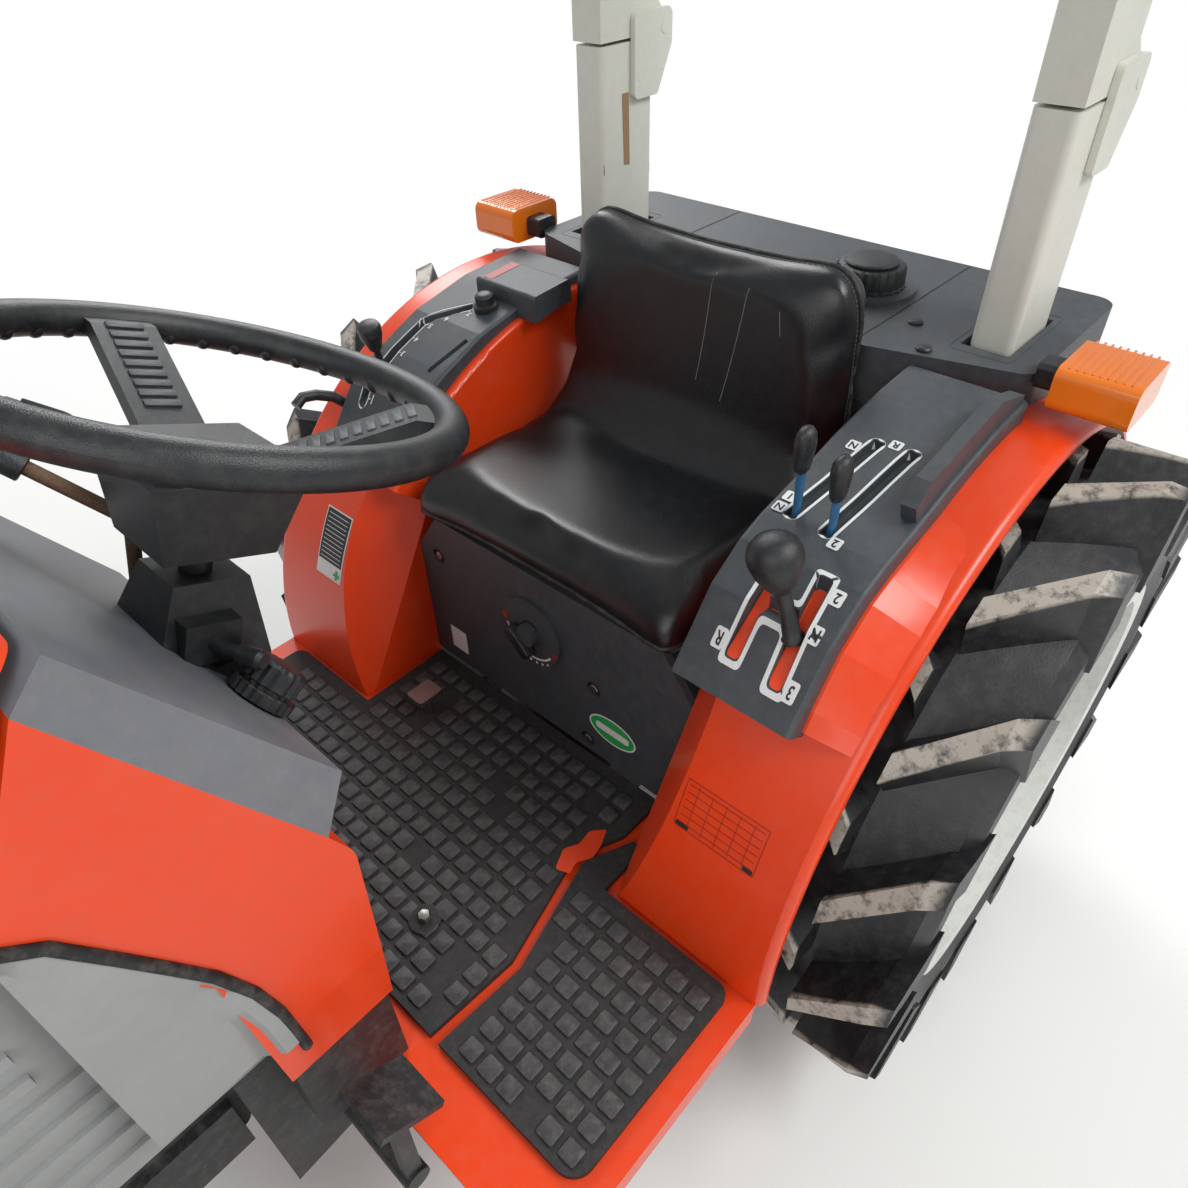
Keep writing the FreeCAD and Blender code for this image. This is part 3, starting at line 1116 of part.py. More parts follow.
def pedals():
    """Clutch and brake pedals in front of the floor, and the lock pedal near the seat."""
    body = new_body("foot_pedals")
    for y, wide in (("270", "60"), ("-262", "52"), ("-330", "52")):
        pad = [("d.floor_front - 18", "d.floor_top + 92"), ("d.floor_front + 42", "d.floor_top + 132"),
               ("d.floor_front + 38", "d.floor_top + 139"), ("d.floor_front - 22", "d.floor_top + 99")]
        slab(body, "XZ_Plane", pad, "%s - %s / 2" % (y, wide), "%s + %s / 2" % (y, wide))
        heel = "d.floor_top - 60"
        arm = [("d.floor_front + 8", "d.floor_top + 112"), ("d.floor_front + 22", "d.floor_top + 121"),
               ("d.floor_front + 30", heel, "10"), ("d.floor_front + 12", heel, "8")]
        slab(body, "XZ_Plane", arm, "%s - 7" % y, "%s + 7" % y)
    axle = "d.floor_top - 52"
    rod(body, "XZ_Plane", "d.floor_front + 21", axle, "14", "-340", "-d.bell_half")
    rod(body, "XZ_Plane", "d.floor_front + 21", axle, "14", "d.bell_half", "280")

    body = new_body("lock_pedal")
    rod(body, "XY_Plane", "442", "-146", "6", "d.floor_top + d.mat_thick", "d.floor_top + d.mat_thick + 34")
    pad = box_corners("424", "464", "-162", "-130", "6")
    slab(body, "XY_Plane", pad, "d.floor_top + d.mat_thick + 34", "d.floor_top + d.mat_thick + 42")


# Hood

def hood():
    """Tilting hood: a sheet shell with its grey top, grille and headlamps."""
    rear = "d.dash_high_x + d.hood_gap"
    outline = [(rear, "d.dash_high_z"), ("d.hood_nose - 20", "d.hood_top_front", "70"),
               ("d.hood_nose", "d.nose_low", "20"), ("d.nose_rear", "d.nose_low"),
               ("d.nose_rear", "d.hood_low", "30"), ("975", "d.hood_low"), ("900", "1046")]
    wall = "d.sheet_wall"
    shell = side_prism(outline, "-d.hood_half", "d.hood_half")
    long_edges = [edge for edge in shell.Edges if is_roof_edge(edge)]
    shell = shell.makeFillet(26, long_edges)
    inner = [(rear + " - 1", "d.dash_high_z - 4"), ("d.hood_nose - 26", "d.hood_top_front - 5", "66"),
             ("d.hood_nose - 5", "d.nose_low - 1"), ("d.nose_rear + 4", "d.nose_low - 1"),
             ("d.nose_rear + 4", "d.hood_low - 1"), ("970", "d.hood_low - 1"), (rear + " - 1", "1040")]
    core = side_prism(inner, "-d.hood_half + " + wall, "d.hood_half - " + wall)
    core = core.makeFillet(22, [edge for edge in core.Edges if is_roof_edge(edge, 4)])
    shell = shell.cut(core)
    mouth = front_prism(box_corners("-d.hood_half + 26", "d.hood_half - 26", "d.nose_low + 30",
                                    "d.nose_low + 210", "10"), "d.hood_nose - 60", "d.hood_nose + 20")
    eyes = []
    for side, sign in SIDES:
        low, high = mirrored("40", "d.hood_half - 30", sign)
        eyes.append(front_prism(box_corners(low, high, "d.nose_low + 232", "d.nose_low + 312", "14"),
                                "d.hood_nose - 60", "d.hood_nose + 20"))
    shell = shell.cut(mouth).cut(eyes[0]).cut(eyes[1])
    new_feature("hood_shell", shell.removeSplitter())

    body = new_body("front_grille")
    half = "d.hood_half - 26 - d.fit_gap"
    bar_face = "d.hood_nose - 14"
    screen = box_corners("-(%s) - 12" % half, half + " + 12", "d.nose_low + 18", "d.nose_low + 216")
    slab(body, "YZ_Plane", screen, "d.hood_nose - 40", "d.hood_nose - 34")
    bars = int(size("d.grille_bars"))
    for index in range(bars):
        z = "d.nose_low + 44 + 152 * %d / (d.grille_bars - 1)" % index
        slab(body, "YZ_Plane", box_corners("-(%s)" % half, half, z + " - 4", z + " + 4"),
             "d.hood_nose - 35", bar_face)

    body = new_body("headlamps")
    for side, sign in SIDES:
        low, high = mirrored("40 + d.fit_gap", "d.hood_half - 30 - d.fit_gap", sign)
        lens = box_corners(low, high, "d.nose_low + 232 + d.fit_gap", "d.nose_low + 312 - d.fit_gap", "13")
        slab(body, "YZ_Plane", lens, "d.hood_nose - 40", "d.hood_nose - 14")


def is_roof_edge(edge, drop=0):
    """True for the hood's long upper edges, which are rounded."""
    box = edge.BoundBox
    along = box.XLength > 300 and box.ZMin > size("d.hood_top_front") - 80 - drop
    return along and box.YLength < 1


def side_covers():
    """Ribbed engine side covers under the hood, one on each side."""
    body = new_body("side_covers")
    outer = "d.side_cover_half"
    inner = "d.side_cover_half - 6"
    sheet = [("864", "d.side_cover_low"), ("d.nose_rear - 8", "d.side_cover_low"),
             ("d.nose_rear - 8", "d.hood_low - 8", "30"), ("966", "d.hood_low - 8"),
             (SEAL[1][0] + " + 4", SEAL[1][1])]
    for side, sign in SIDES:
        low, high = mirrored(inner, outer, sign)
        slab(body, "XZ_Plane", sheet, low, high)
        low, high = mirrored("d.engine_half", "d.side_cover_half - 5", sign)
        for x in ("d.engine_rear + 60", ENGINE_FRONT + " - 80"):
            lug = box_corners(x, x + " + 24", "d.side_cover_low + 20", "d.side_cover_low + 60")
            slab(body, "XZ_Plane", lug, low, high)
        low, high = mirrored(inner, "d.hood_half", sign)
        ledge = box_corners("985", "d.nose_rear - 45", "d.hood_low - 12", "d.hood_low - d.fit_gap")
        slab(body, "XZ_Plane", ledge, low, high)
        low, high = mirrored("d.side_cover_half - 1", "d.side_cover_half + 5", sign)
        ribs = int((size("d.hood_low") - size("d.side_cover_low") - 40) / size("d.rib_pitch"))
        for index in range(ribs):
            z = "d.side_cover_low + 24 + %d * d.rib_pitch" % index
            start = "880" if index < 5 else "990"
            slab(body, "XZ_Plane", box_corners(start, "d.nose_rear - 24", z, z + " + 12"), low, high)


# Rear linkage

def linkage():
    """Three-point linkage: lower links, lift rods and lift arms move as a parallelogram."""
    body = new_body("lower_links")
    eye = "-d.tail_reach + 24"
    for side, sign in SIDES:
        low, high = mirrored("d.link_y", "d.link_y + d.link_thick", sign)
        link = [("d.link_x + 24", LINK_Z + " - 24", "20"), ("d.link_x + 24", LINK_Z + " + 24", "20"),
                (eye + " - 24", LINK_Z + " + 24", "20"), (eye + " - 24", LINK_Z + " - 24", "20")]
        slab(body, "XZ_Plane", link, low, high)
        low, high = mirrored("d.link_y - 8", "d.link_y + d.link_thick + 8", sign)
        rod(body, "XZ_Plane", eye, LINK_Z, "22", low, high)
        rod(body, "XZ_Plane", eye, LINK_Z, "d.link_eye_radius",
            *mirrored("d.link_y - 9", "d.link_y + d.link_thick + 9", sign), cut=True)
        rod(body, "XZ_Plane", "d.link_x", LINK_Z, "12 + d.running_gap",
            *mirrored("d.link_y - 1", "d.link_y + d.link_thick + 1", sign), cut=True)

    body = new_body("link_pins")
    for side, sign in SIDES:
        rod(body, "XZ_Plane", "d.link_x", LINK_Z, "12", *mirrored("d.axle_tube_root",
                                                                     "d.link_y + d.link_thick + 8", sign))
        rod(body, "XZ_Plane", "d.link_x", LINK_Z, "26", *mirrored("d.axle_tube_root",
                                                                     "d.link_y - d.fit_gap", sign))

    body = new_body("lift_arms")
    arm_z = LINK_Z + " + d.lift_rise"
    rod(body, "XZ_Plane", "d.link_x", arm_z, "20", "-d.link_y - d.link_thick", "d.link_y + d.link_thick")
    tip = "d.link_x - d.lift_arm"
    for side, sign in SIDES:
        low, high = mirrored("d.link_y", "d.link_y + d.link_thick", sign)
        arm = [("d.link_x + 30", arm_z + " - 30", "24"), ("d.link_x + 30", arm_z + " + 30", "24"),
               (tip + " - 20", arm_z + " + 20", "16"), (tip + " - 20", arm_z + " - 20", "16")]
        slab(body, "XZ_Plane", arm, low, high)
        rod(body, "XZ_Plane", tip, arm_z, "8", *mirrored("d.link_y", "d.link_y + d.link_thick + 24", sign))

    body = new_body("lift_rods")
    for side, sign in SIDES:
        low, high = mirrored("d.link_y + d.link_thick + 4", "d.link_y + d.link_thick + 20", sign)
        bar = [(tip + " - 16", LINK_Z + " - 16", "14"), (tip + " + 16", LINK_Z + " - 16", "14"),
               (tip + " + 16", arm_z + " + 16", "14"), (tip + " - 16", arm_z + " + 16", "14")]
        slab(body, "XZ_Plane", bar, low, high)
        rod(body, "XZ_Plane", tip, arm_z, "8 + d.running_gap",
            *mirrored("d.link_y + d.link_thick + 3", "d.link_y + d.link_thick + 21", sign), cut=True)

    body = new_body("lift_shaft_brackets")
    for side, sign in SIDES:
        low, high = mirrored("d.case_half - 30", "d.case_half", sign)
        ear = [("d.link_x - 50", CASE_TOP), ("d.link_x + 50", CASE_TOP),
               ("d.link_x + 34", arm_z + " + 34", "24"), ("d.link_x - 34", arm_z + " + 34", "24")]
        slab(body, "XZ_Plane", ear, low, high)
        rod(body, "XZ_Plane", "d.link_x", arm_z, "20 + d.running_gap", low + " - 1", high + " + 1", cut=True)

    body = new_body("top_link_bracket")
    for side, sign in SIDES:
        low, high = mirrored("22", "34", sign)
        plate = [("-d.case_tail", CASE_TOP + " - 120"), ("-d.case_tail - 60", CASE_TOP + " - 90", "16"),
                 ("-d.case_tail - 60", CASE_TOP + " - 50", "16"), ("-d.case_tail", CASE_TOP + " - 20")]
        slab(body, "XZ_Plane", plate, low, high)
        rod(body, "XZ_Plane", "-d.case_tail - 38", CASE_TOP + " - 70", "9.6",
            low + " - 1", high + " + 1", cut=True)
    slab(body, "XZ_Plane", box_corners("-d.case_tail - 10", "-d.case_tail", CASE_TOP + " - 124",
                                       CASE_TOP + " - 16"), "-50", "50")

    body = new_body("drawbar")
    end = "-d.case_tail - d.drawbar_reach"
    bar = [("-d.case_tail - 12", "-36"), (end + " - 40", "-36", "30"),
           (end + " - 40", "36", "30"), ("-d.case_tail - 12", "36")]
    slab(body, "XY_Plane", bar, "d.case_low + 10", "d.case_low + 30")
    slab(body, "YZ_Plane", box_corners("-50", "50", "d.case_low + 22", "d.case_low + 48"),
         "-d.case_tail - 13", "-d.case_tail")
    slab(body, "YZ_Plane", box_corners("-36", "36", "d.case_low + 10", "d.case_low + 30"),
         "-d.case_tail - 14", "-d.case_tail - 1")
    rod(body, "XY_Plane", end, "0", "d.drawbar_pin_radius", "d.case_low + 9",
        "d.case_low + 31", cut=True)

    body = new_body("pto_shaft")
    rod(body, "YZ_Plane", "0", PTO_Z, "d.pto_radius", "-d.case_tail - 86", "-d.case_tail")
    rod(body, "YZ_Plane", "0", PTO_Z, "46", "-d.case_tail - 12", "-d.case_tail")


wheels()
steering_gear()
front_axle()
backbone()
front_frame()
floor_and_mat()
for side_name, side_sign in SIDES:
    fender("fender_" + side_name, side_sign)
consoles()
seat()
rear_cover()
rollover_bar()
lamps()
cowl()
steering()
dash_controls()
pedals()
hood()
side_covers()
linkage()
DOC.recompute()

for item in DOC.Objects:
    if "Invalid" in item.State or "Error" in item.State:
        raise RuntimeError("%s did not build: %s" % (item.Name, item.State))
for item in DOC.Objects:
    if item.TypeId in ("PartDesign::Pocket", "PartDesign::Groove") and item.BaseFeature is not None:
        if item.Shape.Volume > item.BaseFeature.Shape.Volume - 1:
            raise RuntimeError("%s cuts nothing" % item.Name)
os.makedirs("parts", exist_ok=True)
for node in NODES:
    if node.Shape.isNull() or not node.Shape.isValid() or not node.Shape.Solids:
        raise RuntimeError("%s has no valid solid" % node.Label)
    node.Shape.exportStep("parts/%s.step" % node.Label)
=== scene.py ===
# %% [markdown]
# # A compact farm tractor, dressed in Blender
# The solid model comes first: every body, wheel and lever already stands where it belongs, in metres.
# This script only dresses it. It paints the solids, adds the small things that a solid model leaves out,
# and swaps a few soft or finely shaped pieces for better ones.

# %% Load the solid model
import math
import random

import bmesh
import bpy
from mathutils import Matrix, Vector
from mathutils.bvhtree import BVHTree


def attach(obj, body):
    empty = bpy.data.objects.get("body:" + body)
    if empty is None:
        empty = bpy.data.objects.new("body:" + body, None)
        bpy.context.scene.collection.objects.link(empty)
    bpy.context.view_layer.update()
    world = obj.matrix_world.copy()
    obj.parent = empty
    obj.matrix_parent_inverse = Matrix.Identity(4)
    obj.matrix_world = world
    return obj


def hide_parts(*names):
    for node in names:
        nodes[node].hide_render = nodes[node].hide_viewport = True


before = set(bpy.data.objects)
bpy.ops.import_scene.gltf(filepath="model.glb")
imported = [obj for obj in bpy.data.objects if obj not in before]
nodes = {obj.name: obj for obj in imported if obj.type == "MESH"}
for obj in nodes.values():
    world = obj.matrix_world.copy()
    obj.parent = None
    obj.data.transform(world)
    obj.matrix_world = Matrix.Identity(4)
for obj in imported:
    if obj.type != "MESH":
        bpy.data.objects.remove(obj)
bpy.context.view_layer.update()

# %% [markdown]
# ## Colour
# Paint colours are given as hex numbers, which are written for a screen. Blender's shaders count in
# light, so one function turns the screen's curve back into plain amounts of light.


# %% One way to write a colour
def light(hex_colour):
    """A screen colour such as '#D93806' as the amounts of light that the shaders count in."""
    parts = [int(hex_colour[i:i + 2], 16) / 255 for i in (1, 3, 5)]
    return tuple(p / 12.92 if p <= 0.04045 else ((p + 0.055) / 1.055) ** 2.4 for p in parts) + (1.0,)


print("tractor orange is", [round(c, 3) for c in light("#D93806")])

# %% [markdown]
# ## Nodes
# A material is a small net of nodes, each with settings, plain values, and links from other nodes. A few
# steps come back in every material: an empty net, noise of a real size, a value spread over another range,
# and two colours mixed.


# %% Add a node with its settings, values and links
def add_node(tree, kind, values=(), links=(), **settings):
    """A new node, of the shaders if its kind doesn't say Node; a node as a source is its first output."""
    node = tree.nodes.new(kind if "Node" in kind else "ShaderNode" + kind)
    for name, value in settings.items():
        setattr(node, name, value)
    for name, value in dict(values).items():
        node.inputs[name].default_value = value
    for name, source in dict(links).items():
        tree.links.new(getattr(source, "outputs", [source])[0], node.inputs[name])
    return node


def bare_net(owner):
    """A new material or world, and its net, emptied."""
    owner.use_nodes = True
    owner.node_tree.nodes.clear()
    return owner, owner.node_tree


def noise(tree, place, size_mm, **values):
    """Noise with patches of about this size."""
    values["Scale"] = 1000 / size_mm
    return add_node(tree, "TexNoise", values, {"Vector": place}).outputs["Fac"]


def ranged(tree, source, low=0.0, high=1.0, least=0.0, most=1.0):
    """A value that runs from low to high, spread from least to most."""
    ends = {"From Min": low, "From Max": high, "To Min": least, "To Max": most}
    return add_node(tree, "MapRange", ends, {"Value": source})


def mixed(tree, share, under, over):
    """The colour over on a colour or a link under it, by a share."""
    values, links = {7: over}, {0: share}
    (values if isinstance(under, tuple) else links)[6] = under
    return add_node(tree, "Mix", values, links, data_type="RGBA").outputs[2]


# %% [markdown]
# ## A worn finish
# Nearly every surface of a used tractor has faded unevenly, has dust on it, a grain from how it was made,
# and gloss that differs from place to place. So one recipe takes those amounts, with sizes in millimetres,
# because the noise has to match the real grain. The outermost millimetres of a tyre's lugs carry dried
# earth, so a crown gives the wheel's place forwards and its radius, also the height of its middle.


# %% The recipe for a worn surface
SPECK_SHARE = 0.16
CHIP_MM, CHIP_BROWN = 14, "#5A3A22"
EARTH, EARTH_FROM, EARTH_FULL = "#A9A196", 0.009, 0.005
PLASTIC_IOR, COAT_ROUGH = 1.5, 0.12


def worn(name, colour, faded, dusty, rough, grain_mm=1.2, grain=0.15, dust="#8D877B", patch_mm=90.0,
         metallic=0.0, coat=0.0, chips=0.0, crown=None):
    """A material with faded patches, settled dust, small chips, a fine grain and uneven gloss."""
    material, tree = bare_net(bpy.data.materials.new(name))
    place = add_node(tree, "TexCoord").outputs["Object"]
    patches = noise(tree, place, patch_mm, Detail=6.0, Roughness=0.6)
    fade = mixed(tree, patches, light(colour), light(faded))
    specks = noise(tree, place, patch_mm * SPECK_SHARE, Detail=9.0, Roughness=0.72)
    shown = mixed(tree, ranged(tree, specks, 0.45, 0.75, most=dusty * 2), fade, light(dust))
    if chips > 0:
        cells = noise(tree, place, CHIP_MM, Detail=3.0)
        shown = mixed(tree, ranged(tree, cells, 0.78 - chips, 0.80 - chips), shown, light(CHIP_BROWN))
    if crown:
        forwards, radius = crown
        moved = {"Location": (-forwards, 0.0, -radius), "Scale": (1.0, 0.0, 1.0)}
        centred = add_node(tree, "Mapping", moved, {"Vector": place})
        spread = add_node(tree, "VectorMath", links={0: centred}, operation="LENGTH")
        outermost = ranged(tree, spread.outputs["Value"], radius - EARTH_FROM, radius - EARTH_FULL)
        clods = ranged(tree, specks, 0.34, 0.52, most=0.95)
        earth = add_node(tree, "Math", links={0: outermost, 1: clods}, operation="MULTIPLY")
        shown = mixed(tree, earth, shown, light(EARTH))
    gloss = ranged(tree, specks, least=rough[0], most=rough[1])
    relief = noise(tree, place, grain_mm, Detail=2.0)
    bump = add_node(tree, "Bump", {"Strength": grain, "Distance": 0.001}, {"Height": relief})
    values = {"Metallic": metallic, "Coat Weight": coat, "Coat Roughness": COAT_ROUGH}
    if metallic == 0:
        values["IOR"] = PLASTIC_IOR
    surface = add_node(tree, "BsdfPrincipled", values,
                       {"Base Color": shown, "Roughness": gloss, "Normal": bump})
    add_node(tree, "OutputMaterial", links={"Surface": surface})
    return material


# %% [markdown]
# ## The finishes
# Each line is one real material: its colour and faded colour, how much dust lies on it, how rough it is from
# and to, the size and depth of its grain, and then what is special about it. Sprayed enamel is glossy with a
# soft orange peel; moulded ABS has a fine leather grain; castings keep the sand's roughness under paint.

# %% Paints, plastics, rubber and metals
# Sprayed enamel: deep colour, a clear skin, orange peel about 3 mm across.
ORANGE_ENAMEL = worn("orange_enamel", "#D93806", "#E2430D", 0.04, (0.26, 0.4), 3.0, 0.03, coat=0.12)
# Injection moulded ABS with a spark-eroded grain: dark blue-grey and nearly matt.
CONSOLE_ABS = worn("console_abs", "#32373B", "#3E4449", 0.06, (0.4, 0.55), 0.9, 0.35)
DASH_ABS = worn("dash_abs", "#5E6065", "#7A7C82", 0.14, (0.4, 0.58), 0.9, 0.3)
# Black moulded plastic of knobs, grips and covers.
BLACK_ABS = worn("black_abs", "#141618", "#212428", 0.05, (0.3, 0.46), 0.8, 0.35)
# Tyre rubber: carbon black with a blue sheen, and dried earth on the tops of its lugs.
TYRE_RUBBER = {}
for end, crown in (("rear", (-0.555, 0.44)), ("front", (0.865, 0.29))):
    for name in (end + "_tyre_left", end + "_tyre_right"):
        TYRE_RUBBER[name] = worn("rubber_" + name, "#141518", "#212225", 0.12, (0.36, 0.62), 2.0, 0.25,
                                 "#6E6A62", 110, crown=crown)
# Enamelled wheel rim: off-white, streaked by mud and a little rust.
RIM_ENAMEL = worn("rim_enamel", "#D6D8D5", "#C6C6C0", 0.16, (0.35, 0.6), 3.0, 0.05, "#8B8474", chips=0.03)
# Grey-painted cast iron of gearbox and axles: sand-rough under thick paint, oily dust in every hollow.
CAST_IRON = worn("painted_cast_iron", "#2C2E31", "#3C3D3F", 0.3, (0.5, 0.75), 2.2, 0.6, "#6B6252")
BLACK_PAINT = worn("black_chassis_paint", "#17181A", "#26272A", 0.12, (0.4, 0.62), 2.5, 0.08, chips=0.04)
# Zinc-plated and bare steel: a metal, so its colour is its shine.
ZINC_STEEL = worn("zinc_plated_steel", "#A9A8A2", "#8C8A84", 0.2, (0.3, 0.5), 1.0, 0.15, "#6E5A44",
                  metallic=1.0)
RUSTY_STEEL = worn("rusty_steel_rod", "#5E4A3C", "#7A5A42", 0.4, (0.6, 0.85), 1.2, 0.5, "#3A2A20", 20)
# Moulded floor mat: black rubber in the hollows, scuffed grey on top of its blocks.
MAT_RUBBER = worn("mat_rubber", "#1A1A1B", "#242425", 0.14, (0.55, 0.8), 1.5, 0.3, "#5F5B54", 50)
MAT_BLOCK = worn("scuffed_mat_rubber", "#2B2B2C", "#3E3E3F", 0.2, (0.4, 0.65), 1.5, 0.3, "#77736C", 60)
BAR_ENAMEL = worn("rollover_bar_enamel", "#CFCFC4", "#C4C4BA", 0.06, (0.32, 0.48), 3.0, 0.04, "#8E8878",
                  coat=0.1, chips=0.02)
COVER_ENAMEL = worn("grey_side_enamel", "#8C8E8D", "#9A9C9B", 0.14, (0.4, 0.55), 3.0, 0.05)
# Vinyl of the seat: black, worn smooth, with a leather grain.
SEAT_VINYL = worn("seat_vinyl", "#0B0C0E", "#15171A", 0.03, (0.24, 0.36), 1.3, 0.3, "#5E5C58", 110)
BLUE_PAINT = worn("blue_lever_paint", "#174F79", "#20618F", 0.1, (0.35, 0.5), 2.0, 0.05)
AMBER_LENS = worn("amber_lens", "#DE6A06", "#E87C12", 0.05, (0.1, 0.25), 5.0, 0.1, coat=0.5)
CLEAR_LENS = worn("headlamp_glass", "#C9CDCF", "#D8DBDC", 0.05, (0.08, 0.2), 6.0, 0.2, coat=0.5)
# Printing ink, labels and small coloured things.
WHITE_INK = worn("white_ink", "#DFE2E0", "#CDD0CF", 0.05, (0.4, 0.55))
BLACK_INK = worn("black_ink", "#17181A", "#222326", 0.03, (0.4, 0.55))
RED_INK = worn("red_label", "#8E1C0A", "#A0240E", 0.06, (0.4, 0.55))
GREEN_INK = worn("green_label", "#1E9A45", "#2AA552", 0.06, (0.35, 0.5))
SEAL_RUBBER = worn("seal_rubber", "#101112", "#1C1D1F", 0.15, (0.5, 0.7))
BROWN_TAPE = worn("brown_tape", "#8A6A4C", "#9C7A58", 0.1, (0.4, 0.6))
# Painted shade: near-black, laid flat where holes, openings and recesses lie in shade, and on the cover's
# splits.
HOLE_DARK = worn("unlit_hollow", "#08090A", "#101113", 0.02, (0.6, 0.8))
print(len(bpy.data.materials), "finishes")

# %% [markdown]
# ## Paint the solids
# The solids that already have the right shape only get a finish. A node's own slot is filled, and its mesh
# isn't touched.

# %% Give each solid its finish
PAINTED = {name: finish for finish, names in (
    (ORANGE_ENAMEL, "fender_left fender_right floor hood_shell cowl"),
    (CONSOLE_ABS, "console_left console_right under_seat_panel rear_cover"),
    (DASH_ABS, "dash_panel"),
    (BLACK_ABS, "column_cover steering_wheel dash_knob front_grille lamp_stalks fuel_cap main_shift_lever"),
    (BLACK_ABS, "lift_lever"),
    (RIM_ENAMEL, "rear_rim_left rear_rim_right front_rim_left front_rim_right"),
    (CAST_IRON, "gearbox_case engine_block rear_axle_tubes front_axle_beam knuckle_left knuckle_right"),
    (CAST_IRON, "lift_shaft_brackets top_link_bracket"),
    (BLACK_PAINT, "front_frame drive_shaft_tube seat_pillar foot_pedals lower_links lift_arms lift_rods"),
    (BLACK_PAINT, "drawbar cowl_foot"),
    (ZINC_STEEL, "pto_shaft link_pins tie_rod lock_pedal"),
    (RUSTY_STEEL, "throttle_lever"),
    (MAT_RUBBER, "floor_mat"),
    (BAR_ENAMEL, "rops_posts rops_hoop"),
    (COVER_ENAMEL, "side_covers"),
    (SEAT_VINYL, "seat"),
    (BLUE_PAINT, "range_levers"),
    (AMBER_LENS, "turn_signals"),
    (CLEAR_LENS, "headlamps"),
) for name in names.split()}
PAINTED.update(TYRE_RUBBER)
for name, finish in PAINTED.items():
    for slot in nodes[name].material_slots:
        slot.material = finish
print("painted", len(PAINTED), "solids; left", sorted(set(nodes) - set(PAINTED)))

# %% [markdown]
# ## Building blocks
# Places are given in millimetres from the middle of the rear axle, on the ground, with x forwards and y to
# the driver's left. Almost every small thing is a skin between rings of points: a knob is a stack of circles,
# a moulded block a stack of rounded outlines, and a rod a row of circles along a bent line.


# %% Places, skins and finished pieces
X, Y, Z = Vector((1, 0, 0)), Vector((0, 1, 0)), Vector((0, 0, 1))
ORIGIN = Vector((0, 0, 0))
REAR_AXLE = 555.0
TURN = 2 * math.pi


def spot(x, y, z):
    """A place in millimetres from the rear axle's middle on the ground, in the shared frame's metres."""
    return Vector((x - REAR_AXLE, y, z)) / 1000.0


def square_to(axis):
    """Two directions that are square to an axis and to each other, and the axis at length 1."""
    axis = Vector(axis).normalized()
    side = axis.cross(Z if abs(axis.z) < 0.9 else Y).normalized()
    return side, axis.cross(side), axis


def skin(bm, rings):
    """Closes rings of points, all with the same count, into one solid skin with both ends shut."""
    rows = [[bm.verts.new(point) for point in ring] for ring in rings]
    count = len(rows[0])
    for low, high in zip(rows, rows[1:]):
        for i in range(count):
            j = (i + 1) % count
            bm.faces.new((low[i], low[j], high[j], high[i]))
    bm.faces.new(rows[0][::-1])
    bm.faces.new(rows[-1])


def turned(bm, start, axis, profile, around=24, flat=1.0, lobes=0, deep=0.0):
    """A turned shape from pairs of distance along the axis and radius, flattened or with finger lobes."""
    side, other, axis = square_to(axis)
    rings = []
    for along, radius in profile:
        ring = []
        for i in range(around):
            angle = TURN * i / around
            wide = radius * (1 - deep * (0.5 + 0.5 * math.cos(lobes * angle)) if lobes else 1.0)
            ring.append(start + (axis * along + side * math.cos(angle) * wide
                                 + other * math.sin(angle) * wide * flat) / 1000)
        rings.append(ring)
    skin(bm, rings)


def rod(bm, path, radius, around=10):
    """A round rod along places, its rings square to the path."""
    rings = []
    side = square_to(path[1] - path[0])[0]
    for i, place in enumerate(path):
        ahead = (path[min(i + 1, len(path) - 1)] - path[max(i - 1, 0)]).normalized()
        side = (side - ahead * side.dot(ahead)).normalized()
        other = ahead.cross(side)
        rings.append([place + (side * math.cos(TURN * k / around) + other * math.sin(TURN * k / around))
                      * radius / 1000 for k in range(around)])
    skin(bm, rings)


def rounded(corners, radius, steps=4):
    """A flat outline with its corners rounded, always by the same number of points."""
    shape = []
    for i, corner in enumerate(corners):
        corner = Vector(corner)
        back, on = Vector(corners[i - 1]) - corner, Vector(corners[(i + 1) % len(corners)]) - corner
        enter = corner + back.normalized() * min(radius, back.length * 0.48)
        leave = corner + on.normalized() * min(radius, on.length * 0.48)
        for k in range(steps + 1):
            t = k / steps
            shape.append(enter * (1 - t) ** 2 + corner * 2 * t * (1 - t) + leave * t ** 2)
    return shape


def plate(width, height, radius, x=0.0, y=0.0):
    """A rounded rectangle about a point of the drawing."""
    wide, high = width / 2, height / 2
    return rounded([(x - wide, y - high), (x + wide, y - high), (x + wide, y + high), (x - wide, y + high)],
                   radius)


def block(bm, middle, right, up, outline, thick, edge=1.0):
    """A moulded block: an outline raised by its thickness, with a softened upper edge."""
    right, up = Vector(right).normalized(), Vector(up).normalized()
    out = right.cross(up)
    centre = sum(outline, Vector((0, 0))) / len(outline)
    span = max((p - centre).length for p in outline)
    rings = []
    for rise, inset in ((0.0, 0.0), (thick - edge, 0.0), (thick - edge * 0.3, edge * 0.3), (thick, edge)):
        drawn = [centre + (p - centre) * (1 - inset / span) for p in outline]
        rings.append([middle + (right * p.x + up * p.y + out * rise) / 1000 for p in drawn])
    skin(bm, rings)


def linked(name, data):
    """A new object in the scene, from its data."""
    thing = bpy.data.objects.new(name, data)
    bpy.context.scene.collection.objects.link(thing)
    return thing


def evaluated(thing):
    """An object as its modifiers leave it."""
    return thing.evaluated_get(bpy.context.evaluated_depsgraph_get())


def net_of(mesh):
    """A mesh as an open net of faces."""
    bm = bmesh.new()
    bm.from_mesh(mesh)
    return bm


